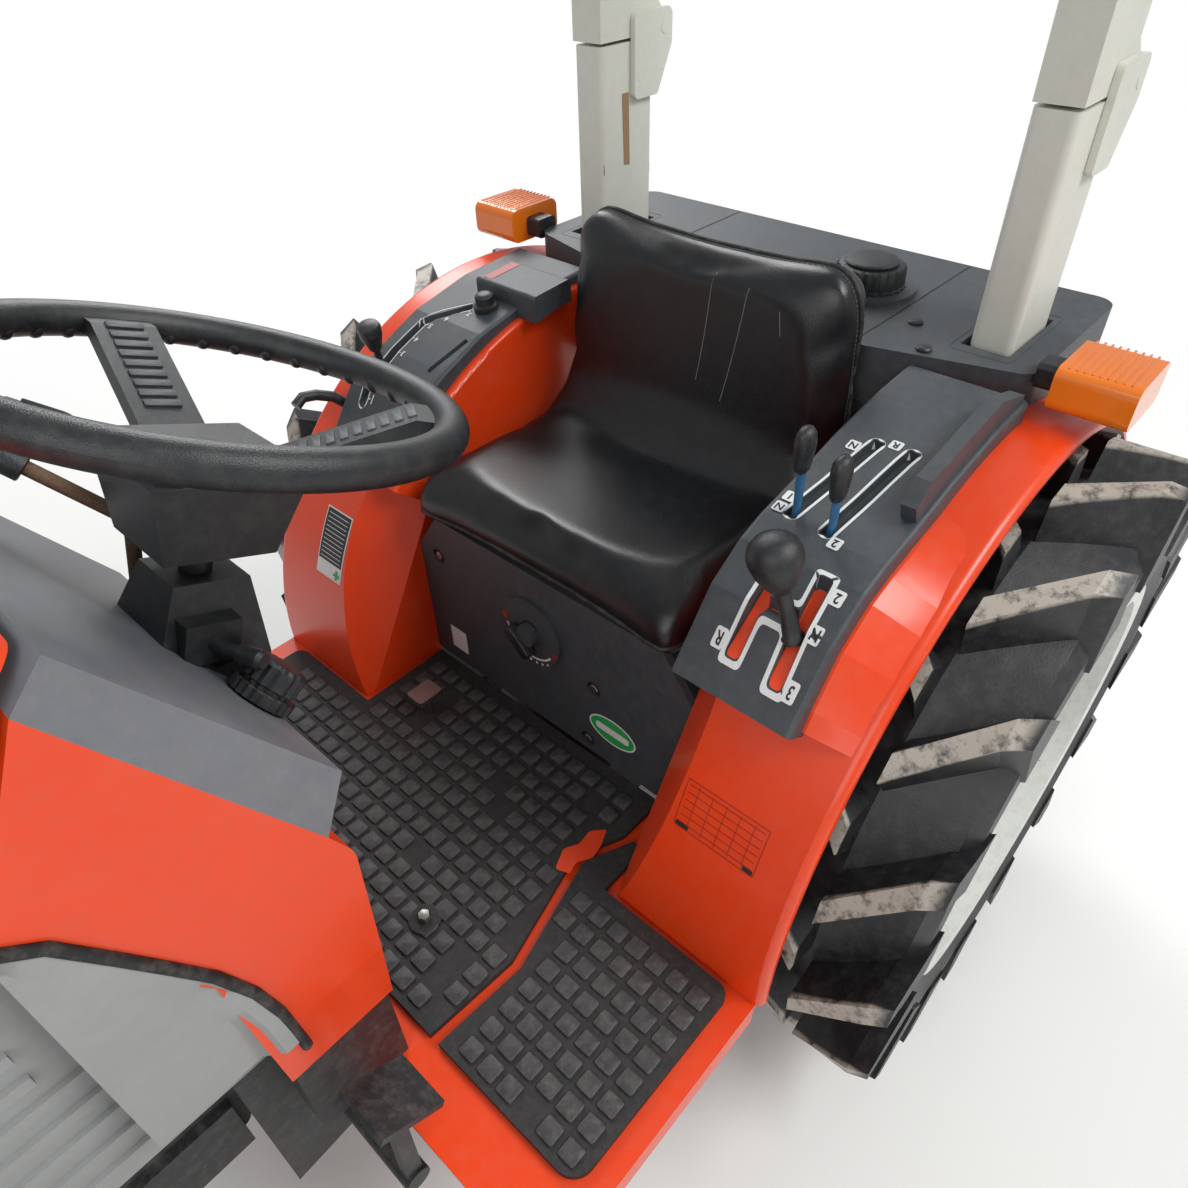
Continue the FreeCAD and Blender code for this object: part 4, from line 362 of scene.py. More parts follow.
def finished(name, finish, bm, smooth=32.0, body="chassis", slot=None, instead_of=(), thick=0.0):
    """Makes the built faces one piece on its body, with its own finish; thin prints get a thickness."""
    bmesh.ops.recalc_face_normals(bm, faces=bm.faces)
    mesh = bpy.data.meshes.new(name)
    bm.to_mesh(mesh)
    bm.free()
    mesh.materials.append(finish)
    piece = linked(name, mesh)
    if thick:
        mesh.shade_flat()
        wall = piece.modifiers.new("thickness", "SOLIDIFY")
        wall.thickness = thick / 1000
        wall.offset = 1.0
    else:
        mesh.shade_smooth()
        mesh.set_sharp_from_angle(angle=math.radians(smooth))
    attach(piece, body)
    if instead_of:
        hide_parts(*instead_of)
    return piece


def turned_piece(name, finish, shapes, smooth=32.0, **more):
    """One piece of turned shapes, each given as turned takes it."""
    bm = bmesh.new()
    for shape in shapes:
        turned(bm, *shape)
    finished(name, finish, bm, smooth, **more)


print("building blocks ready")

# %% [markdown]
# ## Printing on a curved surface
# Gate outlines, figures and labels lie on moulded surfaces that curve. So each flat shape is drawn in
# millimetres on a plane, an origin with two directions, and every point of it is lowered onto the solid. A
# surface to print on is a plane, the solid under it, the direction out, and how far to look for the solid.


# %% Lower flat shapes onto a solid
def surface_of(*names):
    """The solids with these names as one thing that a ray can meet."""
    points, sides = [], []
    for name in names:
        start = len(points)
        points += [nodes[name].matrix_world @ v.co for v in nodes[name].data.vertices]
        sides += [[start + i for i in face.vertices] for face in nodes[name].data.polygons]
    return BVHTree.FromPolygons(points, sides)


def towards(angle):
    """A step of length 1 in a drawing."""
    return Vector((math.cos(angle), math.sin(angle)))


def steps(first, last, count):
    """Even angles from the first to the last, in radians."""
    return [math.radians(first + (last - first) * i / (count - 1)) for i in range(count)]


def lane(points, half, parts=6):
    """The outline of a slot of the given half width along a line, with round ends."""
    points = [Vector(p) for p in points]
    sides = []
    for i in range(len(points)):
        ahead = (points[min(i + 1, len(points) - 1)] - points[max(i - 1, 0)]).normalized()
        sides.append(Vector((-ahead.y, ahead.x)) * half)
    left = [p + s for p, s in zip(points, sides)]
    right = [p - s for p, s in zip(points, sides)]
    turns = [Matrix.Rotation(-math.pi * k / parts, 2) for k in range(1, parts)]
    return (left + [points[-1] + turn @ sides[-1] for turn in turns]
            + right[::-1] + [points[0] - turn @ sides[0] for turn in turns])


def drawn(plane, point):
    """The place of a drawing's point."""
    origin, right, up = plane
    return origin + (right * point.x + up * point.y) / 1000


def flat(bm, outline, plane, cut=False):
    """One flat face; a bent one is cut into triangles, so that it can follow a surface."""
    face = bm.faces.new([bm.verts.new(drawn(plane, p)) for p in outline])
    if cut:
        bmesh.ops.triangulate(bm, faces=[face])


def band(bm, inner, outer, plane):
    """A flat band between two outlines with the same count of points, in parts of about 5 mm."""
    rows = ([], [])
    for i in range(len(inner)):
        j = (i + 1) % len(inner)
        parts = max(1, round((outer[j] - outer[i]).length / 5))
        for k in range(parts):
            for row, line in zip(rows, (inner, outer)):
                row.append(bm.verts.new(drawn(plane, line[i].lerp(line[j], k / parts))))
    for i in range(len(rows[0])):
        j = (i + 1) % len(rows[0])
        bm.faces.new((rows[0][i], rows[0][j], rows[1][j], rows[1][i]))


def letters(bm, text, high, middle):
    """Flat letters, as faces, of a height in millimetres, upright for the driver."""
    curve = bpy.data.curves.new("letters", "FONT")
    curve.body = text
    curve.size = high / 1000 / 0.7
    curve.offset = high / 1000 * 0.03
    curve.align_x, curve.align_y = "CENTER", "CENTER"
    curve.resolution_u = 2
    holder = linked("letters", curve)
    mesh = bpy.data.meshes.new_from_object(evaluated(holder))
    points = [bm.verts.new(middle - Y * v.co.x + X * v.co.y) for v in mesh.vertices]
    for face in mesh.polygons:
        bm.faces.new([points[i] for i in face.vertices])
    bpy.data.objects.remove(holder)
    bpy.data.curves.remove(curve)
    bpy.data.meshes.remove(mesh)


def printed(name, finish, shapes, surface, lift=0.3, thick=0.2, cut=False, texts=(), high=8.5):
    """Outlines, bands (pairs of outlines) and texts, lowered onto a surface and lifted a hair."""
    plane, solid, out, reach = surface
    bm = bmesh.new()
    for shape in shapes:
        if len(shape) == 2:
            band(bm, *shape, plane)
        else:
            flat(bm, shape, plane, cut)
    for text, x, y in texts:
        letters(bm, text, high, spot(x, y, 900))
    for vert in bm.verts:
        met = solid.ray_cast(vert.co + out * reach / 2, -out, reach)[0]
        if met is not None:
            vert.co = met + out * lift / 1000
    finished(name, finish, bm, thick=thick)


print("printing tools ready")

# %% [markdown]
# ## Left console: the gates
# The driver reads the gates from the seat, so the figures stand upright towards the front. The main gate is
# one H with an extra arm, and a white band follows its edge; the two range slots are plain long slots.

# %% Gate bands and figures of the left console
SHEET, LABELS = (spot(0, 0, 900), X, Y), (spot(0, 0, 900), -Y, X)
left_console = surface_of("console_left")
LEFT_TOP, LEFT_LABELS = (SHEET, left_console, Z, 0.4), (LABELS, left_console, Z, 0.4)
RANGE_SLOTS = (((252, 278), (210, 284), (170, 290), (130, 296)),
               ((256, 320), (214, 324.6), (170, 329), (127, 334)))
# Each corner of the main gate: its place, and which way it moves when the outline grows.
GATE_CORNERS = ((372, 303, 1, -1), (372, 303, 1, 1), (340, 303, 1, 1), (340, 350.823529, 1, -1),
                (376, 354, 1, -1), (376, 354, 1, 1), (308, 348, -1, 1), (308, 348, -1, -1),
                (340, 350.823529, -1, -1), (340, 303, -1, 1), (301, 303, -1, 1), (301, 303, -1, -1))
FIGURES = (("1", 293, 286), ("2", 312, 367), ("3", 380, 370), ("R", 372, 284), ("N", 344, 367),
           ("R", 122, 314), ("N", 143, 278), ("1", 235, 264), ("N", 252, 263), ("2", 266, 334))


def main_gate(grown):
    """Outline of the main gate at a distance from the middle line of its slots."""
    return rounded([(x + right * grown, y + up * grown) for x, y, right, up in GATE_CORNERS], 5.0)


bands = [(main_gate(8.3), main_gate(12.5))] + [(lane(line, 6.8), lane(line, 9.6)) for line in RANGE_SLOTS]
printed("gate_bands", WHITE_INK, bands, LEFT_TOP, lift=0.4, thick=0.25)
tabs = [plate(13, 13.5, 2.5, -y, x) for text, x, y in FIGURES]
printed("gate_tabs", WHITE_INK, tabs, LEFT_LABELS, lift=0.8, thick=0.25)
printed("gate_figures", BLACK_INK, [], LEFT_TOP, lift=1.2, thick=0.15, texts=FIGURES)
printed("gate_floor_paint", ORANGE_ENAMEL, [main_gate(6.6)], LEFT_TOP, lift=0.4, thick=0.3, cut=True)
print("left console printed")

# %% [markdown]
# ## The levers
# The main lever is a rubber-sleeved rod with a pear-shaped knob. The two range levers are flat bars painted
# blue, each with a black pushed-on grip that leans back.

# %% Main lever and range levers
foot, tip = spot(347, 348, 822), spot(353, 323, 905)
long = (tip - foot).length * 1000
sleeve = [(0, 11), (5, 11.5), (8, 9), (30, 7.5), (long - 36, 8), (long - 28, 9)]
pear = [(long - 30, 8), (long - 28, 12), (long - 20, 17.5), (long - 10, 22.5), (long + 2, 25.6),
        (long + 10, 25.8), (long + 18, 23), (long + 24, 17), (long + 27.5, 9), (long + 28.6, 2)]
turned_piece("main_lever", BLACK_ABS, [(foot, tip - foot, sleeve), (foot, tip - foot, pear, 32)], 50,
             slot="black_plastic", instead_of=("main_shift_lever",))
bars, grips = [], []
for foot, tip in ((spot(246, 279, 878), spot(256, 283, 957)), (spot(250, 321, 876), spot(260, 325, 945))):
    long = (tip - foot).length * 1000
    bars.append((foot, tip - foot, [(0, 7), (long - 22, 7.6), (long - 18, 7.6)], 16, 0.42))
    grips.append((foot, tip - foot, [(long - 24, 7), (long - 20, 10), (long - 6, 12), (long + 8, 13.2),
                                     (long + 18, 12), (long + 24, 8), (long + 26, 2)], 20, 0.72))
turned_piece("range_lever_bars", BLUE_PAINT, bars, 40, slot="blue", instead_of=("range_levers",))
turned_piece("range_lever_grips", BLACK_ABS, grips, 50, slot="black_plastic", instead_of=("range_levers",))
print("levers stand in their gates")

# %% [markdown]
# ## Right console: the lift quadrant
# A long curved slot holds the lift lever. A scale from 1 to 7 beside it tells how deep the tool works, and a
# thin white line follows the slot.

# %% Quadrant line, scale, switch stripe and hand lever
RIGHT_TOP = (SHEET, surface_of("console_right"), Z, 0.4)
quadrant = [Vector(p) for p in ((318, -349), (285, -354), (251, -356), (224, -355.5), (198, -354),
                                (172, -338), (146, -314))]
shapes, numbers = [(lane(quadrant, 7.6), lane(quadrant, 9.0))], []
for number in range(1, 8):
    share = (number - 1) / 6 * (len(quadrant) - 1.001)
    step = int(share)
    place = quadrant[step].lerp(quadrant[step + 1], share - step)
    along = (quadrant[step + 1] - quadrant[step]).normalized()
    inward = Vector((along.y, -along.x))
    shapes.append(lane([place + inward * 9.6, place + inward * 12.2], 0.5, 2))
    numbers.append((str(number), *(place + inward * 17)))
printed("quadrant_scale", WHITE_INK, shapes, RIGHT_TOP, lift=0.5, texts=numbers, high=7.5)
printed("switch_box_stripe", RED_INK, [plate(56, 16, 2, 80, -314)], RIGHT_TOP)
turned_piece("console_buttons", BLACK_ABS, [
    (spot(136, -290, 903), (0.12, 0, 1), [(0, 17), (6, 17), (8, 13), (18, 13), (21, 10), (22, 4)], 28),
    (spot(294, -338, 906), (0.25, 0.1, 1), [(0, 9), (4, 15), (10, 16), (15, 14), (18, 7)], 24)], 40)
bends = ((307, -394, 770), (312, -400, 790), (330, -408, 808), (352, -413, 818), (372, -414, 822),
         (386, -412, 815))
hand_lever = bmesh.new()
rod(hand_lever, [spot(*bend) for bend in bends], 7.5, 12)
finished("bent_hand_lever", BLACK_ABS, hand_lever, 50)
print("right console printed")

# %% [markdown]
# ## Repeating a small shape
# Mat blocks, spoke bars, wheel nuts and stitches are one small shape set out many times. A Geometry Nodes
# tree puts the shape on each point of a mesh, turned as the point says, a little uneven in size from a
# fixed seed, and makes the copies real.


# %% The tree that repeats a shape
def repeat_tree():
    """The tree, and the identifiers of its inputs by name."""
    tree = bpy.data.node_groups.new("repeat_on_points", "GeometryNodeTree")
    sockets = {}
    for name, kind in (("Points", "NodeSocketGeometry"), ("Shape", "NodeSocketObject"),
                       ("Finish", "NodeSocketMaterial"), ("Unevenness", "NodeSocketFloat")):
        sockets[name] = tree.interface.new_socket(name, in_out="INPUT", socket_type=kind).identifier
    tree.interface.new_socket("Copies", in_out="OUTPUT", socket_type="NodeSocketGeometry")
    given = add_node(tree, "NodeGroupInput")
    shape = add_node(tree, "GeometryNodeObjectInfo", links={"Object": given.outputs["Shape"]})
    turn = add_node(tree, "GeometryNodeInputNamedAttribute", {"Name": "turn"}, data_type="FLOAT_VECTOR")
    rotation = add_node(tree, "FunctionNodeEulerToRotation", links={0: turn})
    least = add_node(tree, "Math", {0: 1.0}, {1: given.outputs["Unevenness"]}, operation="SUBTRACT")
    scale = add_node(tree, "FunctionNodeRandomValue", {3: 1.0, "Seed": 7}, {2: least},
                     data_type="FLOAT")
    placed = add_node(tree, "GeometryNodeInstanceOnPoints",
                      links={"Points": given, "Instance": shape.outputs["Geometry"], "Rotation": rotation,
                             "Scale": scale.outputs[1]})
    real = add_node(tree, "GeometryNodeRealizeInstances", links={0: placed})
    painted = add_node(tree, "GeometryNodeSetMaterial",
                       links={"Geometry": real, "Material": given.outputs["Finish"]})
    add_node(tree, "NodeGroupOutput", links={0: painted})
    return tree, sockets


REPEAT, SOCKETS = repeat_tree()


def repeated(name, finish, shape, places, uneven=0.0, smooth=32.0, body="chassis"):
    """Sets a small shape out at places, each a point with the shape's right and up directions."""
    small = bpy.data.meshes.new(name + "_shape")
    bmesh.ops.recalc_face_normals(shape, faces=shape.faces)
    shape.to_mesh(small)
    shape.free()
    points = bpy.data.meshes.new(name + "_points")
    points.from_pydata([place for place, right, up in places], [], [])
    turns = points.attributes.new("turn", "FLOAT_VECTOR", "POINT")
    for i, (place, right, up) in enumerate(places):
        right = Vector(right).normalized()
        out = right.cross(Vector(up)).normalized()
        turns.data[i].vector = Matrix((right, out.cross(right), out)).transposed().to_euler()
    pattern, holder = linked(name + "_shape", small), linked(name + "_points", points)
    repeat = holder.modifiers.new("repeat", "NODES")
    repeat.node_group = REPEAT
    for socket, value in (("Shape", pattern), ("Finish", finish), ("Unevenness", uneven)):
        repeat[SOCKETS[socket]] = value
    whole = bpy.data.meshes.new_from_object(evaluated(holder))
    bm = net_of(whole)
    for thing in (holder, pattern):
        bpy.data.objects.remove(thing)
    for spare in (points, small, whole):
        bpy.data.meshes.remove(spare)
    finished(name, finish, bm, smooth, body)


print("repeat tree has", len(REPEAT.nodes), "nodes")

# %% [markdown]
# ## Floor mat
# A moulded rubber mat with rows of square blocks, about 28 mm apart. Boots have worn the block tops grey,
# the mat has split along the left, and a few blocks have come off. Blocks go only where the mat lies free.

# %% Mat blocks
MAT_HIGH, ROW_STEP, COLUMN_STEP = 443.9, 28.0, 28.2
CLEAR_OF_OTHERS, LOST_BLOCKS = 0.019, 0.02
mat_top = surface_of("floor_mat")
around_mat = surface_of("cowl_foot", "cowl", "fender_left", "fender_right", "lock_pedal", "foot_pedals",
                        "under_seat_panel", "column_cover", "gearbox_case")
dice = random.Random(5)
shape = bmesh.new()
block(shape, ORIGIN, X, Y, plate(21.5, 22.5, 3.0), 3.6, 1.4)
places = []
for row in range(13):
    for column in range(30):
        x, y = 379 + row * ROW_STEP, -398 + column * COLUMN_STEP
        corners = [spot(x + dx, y + dy, 460) for dx in (-13, 0, 13) for dy in (-13, 0, 13)]
        free = all(mat_top.ray_cast(corner, -Z, 0.03)[0] is not None for corner in corners)
        near = around_mat.find_nearest(spot(x, y, 448))[3]
        torn = 420 < x < 512 and 150 < y < 205
        if free and near > CLEAR_OF_OTHERS and dice.random() > LOST_BLOCKS and not torn:
            places.append((spot(x, y, MAT_HIGH), X, Y))
repeated("mat_blocks", MAT_BLOCK, shape, places, 0.08)
tear = bmesh.new()
torn = rounded([(424, 178), (440, 163), (462, 166), (480, 156), (507, 168), (500, 186), (484, 181),
                (466, 192), (446, 188)], 4)
flat(tear, torn, (spot(0, 0, 444.2), X, Y), cut=True)
finished("torn_patch_paint", ORANGE_ENAMEL, tear, thick=0.3)
turned_piece("mat_bolt_washer", MAT_RUBBER, [(spot(654, 101, 444), Z, [(0, 19), (3, 19), (4, 14)], 28)])
turned_piece("mat_bolt", ZINC_STEEL, [(spot(654, 101, 447), Z, [(0, 9), (6, 9), (9, 7), (10, 3)], 6)])
print(len(places), "mat blocks")

# %% [markdown]
# ## The seat
# One foam moulding makes cushion and backrest, in a black vinyl cover that is drawn tight over it. The solid
# gives the size. Here its copy becomes an even net, the sitting place and the back are hollowed, the corners
# are eased, and cloth under a light inner pressure then swells the cover as foam does.

# %% Seat cover, swelled as cloth
NET_SIZE = 0.006
EASED, EASED_AFTER = 14, 6
SEAT_MIDDLE, SPREAD = -0.369, 0.03
PRESSURE, CLOTH_STEPS, COVER_CAP = 3.0, 20, 0.014


def hollowed(x, y, z):
    """How far a point of the seat is pressed in by use and by its form, in millimetres on x and z."""
    across = max(0.0, 1 - (y / 190) ** 2)
    along = max(0.0, 1 - ((x - 215) / 150) ** 2)
    upwards = max(0.0, 1 - ((z - 930) / 120) ** 2)
    if z < 845 and x > 80:
        return 0.0, -13 * across * along * min(1.0, max(0.0, (z - 730) / 30))
    if x > 25:
        return -9 * across * upwards * min(1.0, (x - 25) / 25), 0.0
    return 0.0, 0.0


def eased(bm, times):
    """Moves each point of a net towards its neighbours."""
    for _ in range(times):
        bmesh.ops.smooth_vert(bm, verts=bm.verts, factor=0.5, use_axis_x=True, use_axis_y=True,
                              use_axis_z=True)


def seat_net():
    """The seat's solid as an even net of small faces."""
    bm = net_of(nodes["seat"].data)
    bmesh.ops.remove_doubles(bm, verts=bm.verts, dist=1e-5)
    mesh = bpy.data.meshes.new("seat_net")
    bm.to_mesh(mesh)
    bm.free()
    holder = linked("seat_net", mesh)
    net = holder.modifiers.new("net", "REMESH")
    net.mode = "VOXEL"
    net.voxel_size = NET_SIZE
    even = bpy.data.meshes.new_from_object(evaluated(holder))
    bpy.data.objects.remove(holder)
    bm = net_of(even)
    for vert in bm.verts:
        shift = hollowed(vert.co.x * 1000 + REAR_AXLE, vert.co.y * 1000, vert.co.z * 1000)
        vert.co += Vector((shift[0], 0, shift[1])) / 1000
        vert.co.x += (vert.co.x - SEAT_MIDDLE) * SPREAD
        vert.co.y += vert.co.y * SPREAD
    eased(bm, EASED)
    bm.to_mesh(even)
    bm.free()
    return even


def swelled(mesh):
    """The net after some steps as cloth under light pressure, no point moved further than the cap."""
    holder = linked("seat_cloth", mesh)
    cloth = holder.modifiers.new("cloth", "CLOTH")
    cloth.settings.use_pressure = True
    cloth.settings.uniform_pressure_force = PRESSURE
    cloth.settings.effector_weights.gravity = 0.0
    cloth.point_cache.frame_start, cloth.point_cache.frame_end = 1, CLOTH_STEPS
    for step in range(1, CLOTH_STEPS + 1):
        bpy.context.scene.frame_set(step)
    shaped = evaluated(holder).to_mesh()
    moved = [v.co.copy() for v in shaped.vertices]
    bpy.data.objects.remove(holder)
    bpy.context.scene.frame_set(1)
    for vert, place in zip(mesh.vertices, moved):
        shift = place - vert.co
        if shift.length > COVER_CAP:
            shift = shift.normalized() * COVER_CAP
        vert.co = vert.co + shift
    return mesh


cover = seat_net()
cover = swelled(cover)
bm = net_of(cover)
eased(bm, EASED_AFTER)
seat_cover = finished("seat_cover", SEAT_VINYL, bm, 180, slot="vinyl", instead_of=("seat",))
fine = seat_cover.modifiers.new("fine", "SUBSURF")
fine.levels = fine.render_levels = 1
print("seat cover has", len(seat_cover.data.vertices), "points")

# %% [markdown]
# ## Seams of the seat
# A piped seam runs along the bottom of the cushion and round the back of the backrest. Its line is found by
# looking at the finished cover from outside, so it always lies on it. Fine scratches run down the backrest.

# %% Piping, stitches and scratches
seat_tree = BVHTree.FromPolygons([v.co for v in seat_cover.data.vertices],
                                 [p.vertices for p in seat_cover.data.polygons])


def seen_from_outside(centre, directions):
    """Places where rays from outside towards a centre meet the seat cover."""
    path = []
    for direction in directions:
        met = seat_tree.ray_cast(centre + direction * 0.6, -direction, 0.6)[0]
        if met is not None:
            path.append(met + direction * 0.0005)
    return path


low_line = seen_from_outside(spot(190, 0, 724),
                             [Vector((math.cos(a), math.sin(a), 0)) for a in steps(-128, 128, 90)])
back_line = seen_from_outside(spot(16, 0, 880),
                              [Vector((0, math.sin(a), math.cos(a))) for a in steps(-118, 118, 90)])
piping = bmesh.new()
rod(piping, low_line, 3.0)
rod(piping, back_line, 3.0)
finished("seat_piping", SEAL_RUBBER, piping, 60)
stitch = bmesh.new()
turned(stitch, Vector((-0.0022, 0, 0)), X, [(0, 0.3), (0.8, 0.8), (3.6, 0.8), (4.4, 0.3)], 6)
places = []
for before, after in zip(back_line, back_line[1:]):
    ahead = after - before
    for share in (0.0, 0.5):
        met = seat_tree.find_nearest(before + ahead * share + X * 0.009)[0]
        places.append((met, ahead, X))
repeated("seat_stitches", CONSOLE_ABS, stitch, places)
scratches = []
for y, lean, high, low in ((34, 16, 1004, 868), (84, 26, 1000, 852), (128, -4, 985, 958)):
    line = [(y - lean * k / 24, high + (low - high) * k / 24) for k in range(25)]
    scratches.append(lane(line, 0.55, 2))
SEAT_FRONT = ((spot(90, 0, 0), Y, Z), seat_tree, X, 0.3)
printed("seat_scratches", DASH_ABS, scratches, SEAT_FRONT, lift=0.35, thick=0.15, cut=True)
print("seams:", len(low_line), "and", len(back_line), "points,", len(places), "stitches")

# %% [markdown]
# ## Steering wheel
# A thick plastic rim with finger grips moulded underneath, and on each spoke a ladder of raised bars. The
# wheel turns, so all of it rides on the wheel's own body.

# %% Spoke ladders and finger grips
SPOKES, BARS, BAR_START, BAR_STEP = (27, 147, 267), 9, 0.072, 0.0098
GRIPS, GRIP_RING, GRIP_LOW = 40, 0.1753, 0.0068
wheel_right, wheel_axis = Vector((0.9239, 0, 0.3827)), Vector((-0.3827, 0, 0.9239))
wheel_middle = spot(655, 0, 1090.5)
wheel_solid = surface_of("steering_wheel")


def spoke_way(angle):
    """The direction from the wheel's middle at an angle in its plane."""
    return wheel_right * math.cos(angle) + Y * math.sin(angle)


bar, places = bmesh.new(), []
block(bar, ORIGIN, X, Y, plate(7.0, 30.0, 1.5), 2.2, 0.8)
for spoke in SPOKES:
    outward = spoke_way(math.radians(spoke))
    sideways = wheel_axis.cross(outward)
    for k in range(BARS):
        above = wheel_middle + outward * (BAR_START + BAR_STEP * k) + wheel_axis * 0.04
        met, normal = wheel_solid.ray_cast(above, -wheel_axis, 0.15)[:2]
        places.append((met - normal * 0.0006, sideways.cross(normal), sideways))
repeated("spoke_ladders", CONSOLE_ABS, bar, places, body="steering_wheel")
grip, places = bmesh.new(), []
turned(grip, Vector((-0.008, 0, 0)), X,
       [(0, 1), (2.5, 5.2), (5.5, 7.4), (8, 7.9), (10.5, 7.4), (13.5, 5.2), (16, 1)], 14)
for k in range(GRIPS):
    outward = spoke_way(TURN * k / GRIPS)
    middle = wheel_middle + outward * GRIP_RING - wheel_axis * GRIP_LOW
    places.append((middle, wheel_axis.cross(outward), outward))
repeated("finger_grips", BLACK_ABS, grip, places, smooth=60, body="steering_wheel")
print("steering wheel dressed")

# %% [markdown]
# ## Panel under the seat
# A dial sets how fast the linkage sinks: a bar-shaped handle over a round hole, with a white arc for its
# scale. The panel also has recessed bolts, a plain sticker and a plain green oval. The round hole and the
# recesses round the bolts are painted shade: flat dark sheets.

# %% Dial, bolts and stickers of the panel
panel = surface_of("under_seat_panel")
PANEL, AROUND_BOLTS = (((spot(352, 0, 0), Y, Z), panel, X, reach) for reach in (0.05, 0.1))
DIAL, HANDLE_LEAN = Vector((-18, 610)), math.radians(-44)
OVAL = Vector((118, 512))
ticks = [plate(3.0, 3.6, 0.8, *(DIAL + towards(math.radians(-120 + 13 * k)) * 50)) for k in range(6)]
arc = lane([DIAL + towards(a) * 43 for a in steps(-172, -38, 20)], 1.5)
printed("dial_scale", WHITE_INK, [arc] + ticks, PANEL, cut=True)
marks = [plate(9, 11, 1.5, *(DIAL + towards(math.radians(angle)) * 47)) for angle in (172, -24)]
printed("dial_red_marks", RED_INK, marks, PANEL)
# Painted shade: a flat near-black ellipse stands for the shadowed hole under the handle.
hole = [DIAL + Vector((math.cos(a) * 15, math.sin(a) * 20)) for a in steps(0, 348, 30)]
printed("dial_hole", HOLE_DARK, [hole], PANEL, lift=0.4)
handle = bmesh.new()
block(handle, spot(353, DIAL.x - 12, DIAL.y - 16), Y * math.cos(HANDLE_LEAN) + Z * math.sin(HANDLE_LEAN),
      Z * math.cos(HANDLE_LEAN) - Y * math.sin(HANDLE_LEAN), plate(50, 17, 4), 13, 2.5)
finished("dial_handle", BLACK_ABS, handle)
# Painted shade: dark rings round the bolts stand for their shadowed recesses.
rings, heads = [], []
for y, z in ((87, 572), (73, 467), (-200, 640)):
    rings.append([[Vector((y, z)) + towards(a) * radius for a in steps(0, 345, 24)] for radius in (8, 12)])
    met = panel.ray_cast(spot(380, y, z), -X, 0.1)[0]
    heads.append((met, X, [(-0.5, 7), (3.5, 7), (4.5, 5.5)], 6))
printed("panel_bolt_rings", HOLE_DARK, rings, AROUND_BOLTS)
turned_piece("panel_bolts", ZINC_STEEL, heads)
ellipses = [[OVAL + Vector((math.cos(a) * wide, math.sin(a) * high)) for a in steps(0, 350, 36)]
            for wide, high in ((37, 21), (39.5, 23.5))]
printed("green_oval", GREEN_INK, ellipses[:1], PANEL)
printed("plain_stickers", WHITE_INK, [ellipses, plate(56, 12, 5, *OVAL), plate(34, 42, 2, -183, 492)], PANEL,
        lift=0.6)
print("panel under the seat dressed")

# %% [markdown]
# ## Labels on the fenders
# Left of the pedals the fender carries a red-printed table, right of them a dark notice with a pale foot and
# a green cross. Both are plain areas with ruled lines.

# %% Fender labels
slope, rise = Vector((0.92, 0, 0.39)).normalized(), Vector((-0.39, 0, 0.92))
TABLE = ((spot(438, 348, 627), Y, rise), surface_of("fender_left"), slope, 0.08)
NOTICE = ((spot(428, -326, 646), Y, rise), surface_of("fender_right"), slope, 0.08)


def boxes(half, lows):
    """Boxes of 25 mm height, one above another."""
    return [rounded([(-half, low), (half, low), (half, low + 25), (-half, low + 25)], 0.3) for low in lows]


table = [(plate(98, 56, 2), plate(100, 58, 2.5))] + [plate(92, 1.0, 0.4, 0, -22 + 9 * k) for k in range(6)]
table += [plate(0.9, 6.3, 0.1, -34 + 17 * k, -22 + 6.3 * part) for k in range(5) for part in range(8)]
corners = [plate(16, 5, 1, -40, -25), plate(12, 5, 1, 42, -25)]
rules = [plate(44, 0.9, 0.4, 0, -22 + 6.4 * k) for k in range(11)]
cross = [plate(14, 4.5, 0.5, 18, -40), plate(4.5, 14, 0.5, 18, -40)]
printed("left_label_table", RED_INK, table, TABLE, 0.25, 0.15)
printed("left_label_corners", BLACK_INK, corners, TABLE, 0.25, 0.15)
printed("right_label_ground", WHITE_INK, boxes(28, (-50, -25, 0, 25)), NOTICE, 0.2, 0.15)
printed("right_label_dark", BLACK_INK, boxes(26, (-27, -2, 23)), NOTICE, 0.5, 0.15)
printed("right_label_lines", WHITE_INK, rules, NOTICE, 0.8, 0.15)
printed("right_label_cross", GREEN_INK, cross, NOTICE, 0.8, 0.15)
print("labels laid on the fenders")

# %% [markdown]
# ## Rear cover, cap and posts
# The posts of the rollover bar come up through oblong openings in the cover; a dark band of painted shade
# stands for the shadowed gap round each post. Beside the seat sits a ridged screw cap. The far post has a
# dark stripe and a strip of tape on it.

# %% Painted shade of the openings, cap, plugs and tape
COVER_TOP = (SHEET, surface_of("rear_cover"), Z, 0.3)
POST_INSIDE = ((spot(0, -283, 0), X, Z), surface_of("rops_posts"), Y, 0.03)
# Painted shade: a dark band round each post stands for the shadowed gap of its opening.
openings = [(plate(112, 52, 2, -155, side * 308), plate(158, 72, 8, -148, side * 308)) for side in (-1, 1)]
printed("post_openings", HOLE_DARK, openings, COVER_TOP)
splits = [lane(line, 0.9) for line in (((-16, 182), (-120, 184), (-316, 186)),
                                       ((-16, -190), (-120, -190), (-316, -190)))]
printed("cover_splits", HOLE_DARK, splits, COVER_TOP, thick=0.15, cut=True)
turned_piece("ridged_cap", BLACK_ABS, [
    (spot(-165, 117, 944), Z, [(0, 46), (3, 46), (4, 44), (24, 44), (27, 42), (28, 38)], 96, 1.0, 24, 0.06),
    (spot(-165, 117, 971), Z, [(0, 33), (4, 34), (6, 32), (7, 27)], 40)],
    slot="black_plastic", instead_of=("fuel_cap",))
turned_piece("cover_plugs", BLACK_ABS, [(spot(x, y, 937.5), Z, [(0, 9), (3, 9), (5, 7), (5.5, 3)], 18)
                                        for x, y in ((-44, 255), (-105, 214), (-44, -255))])
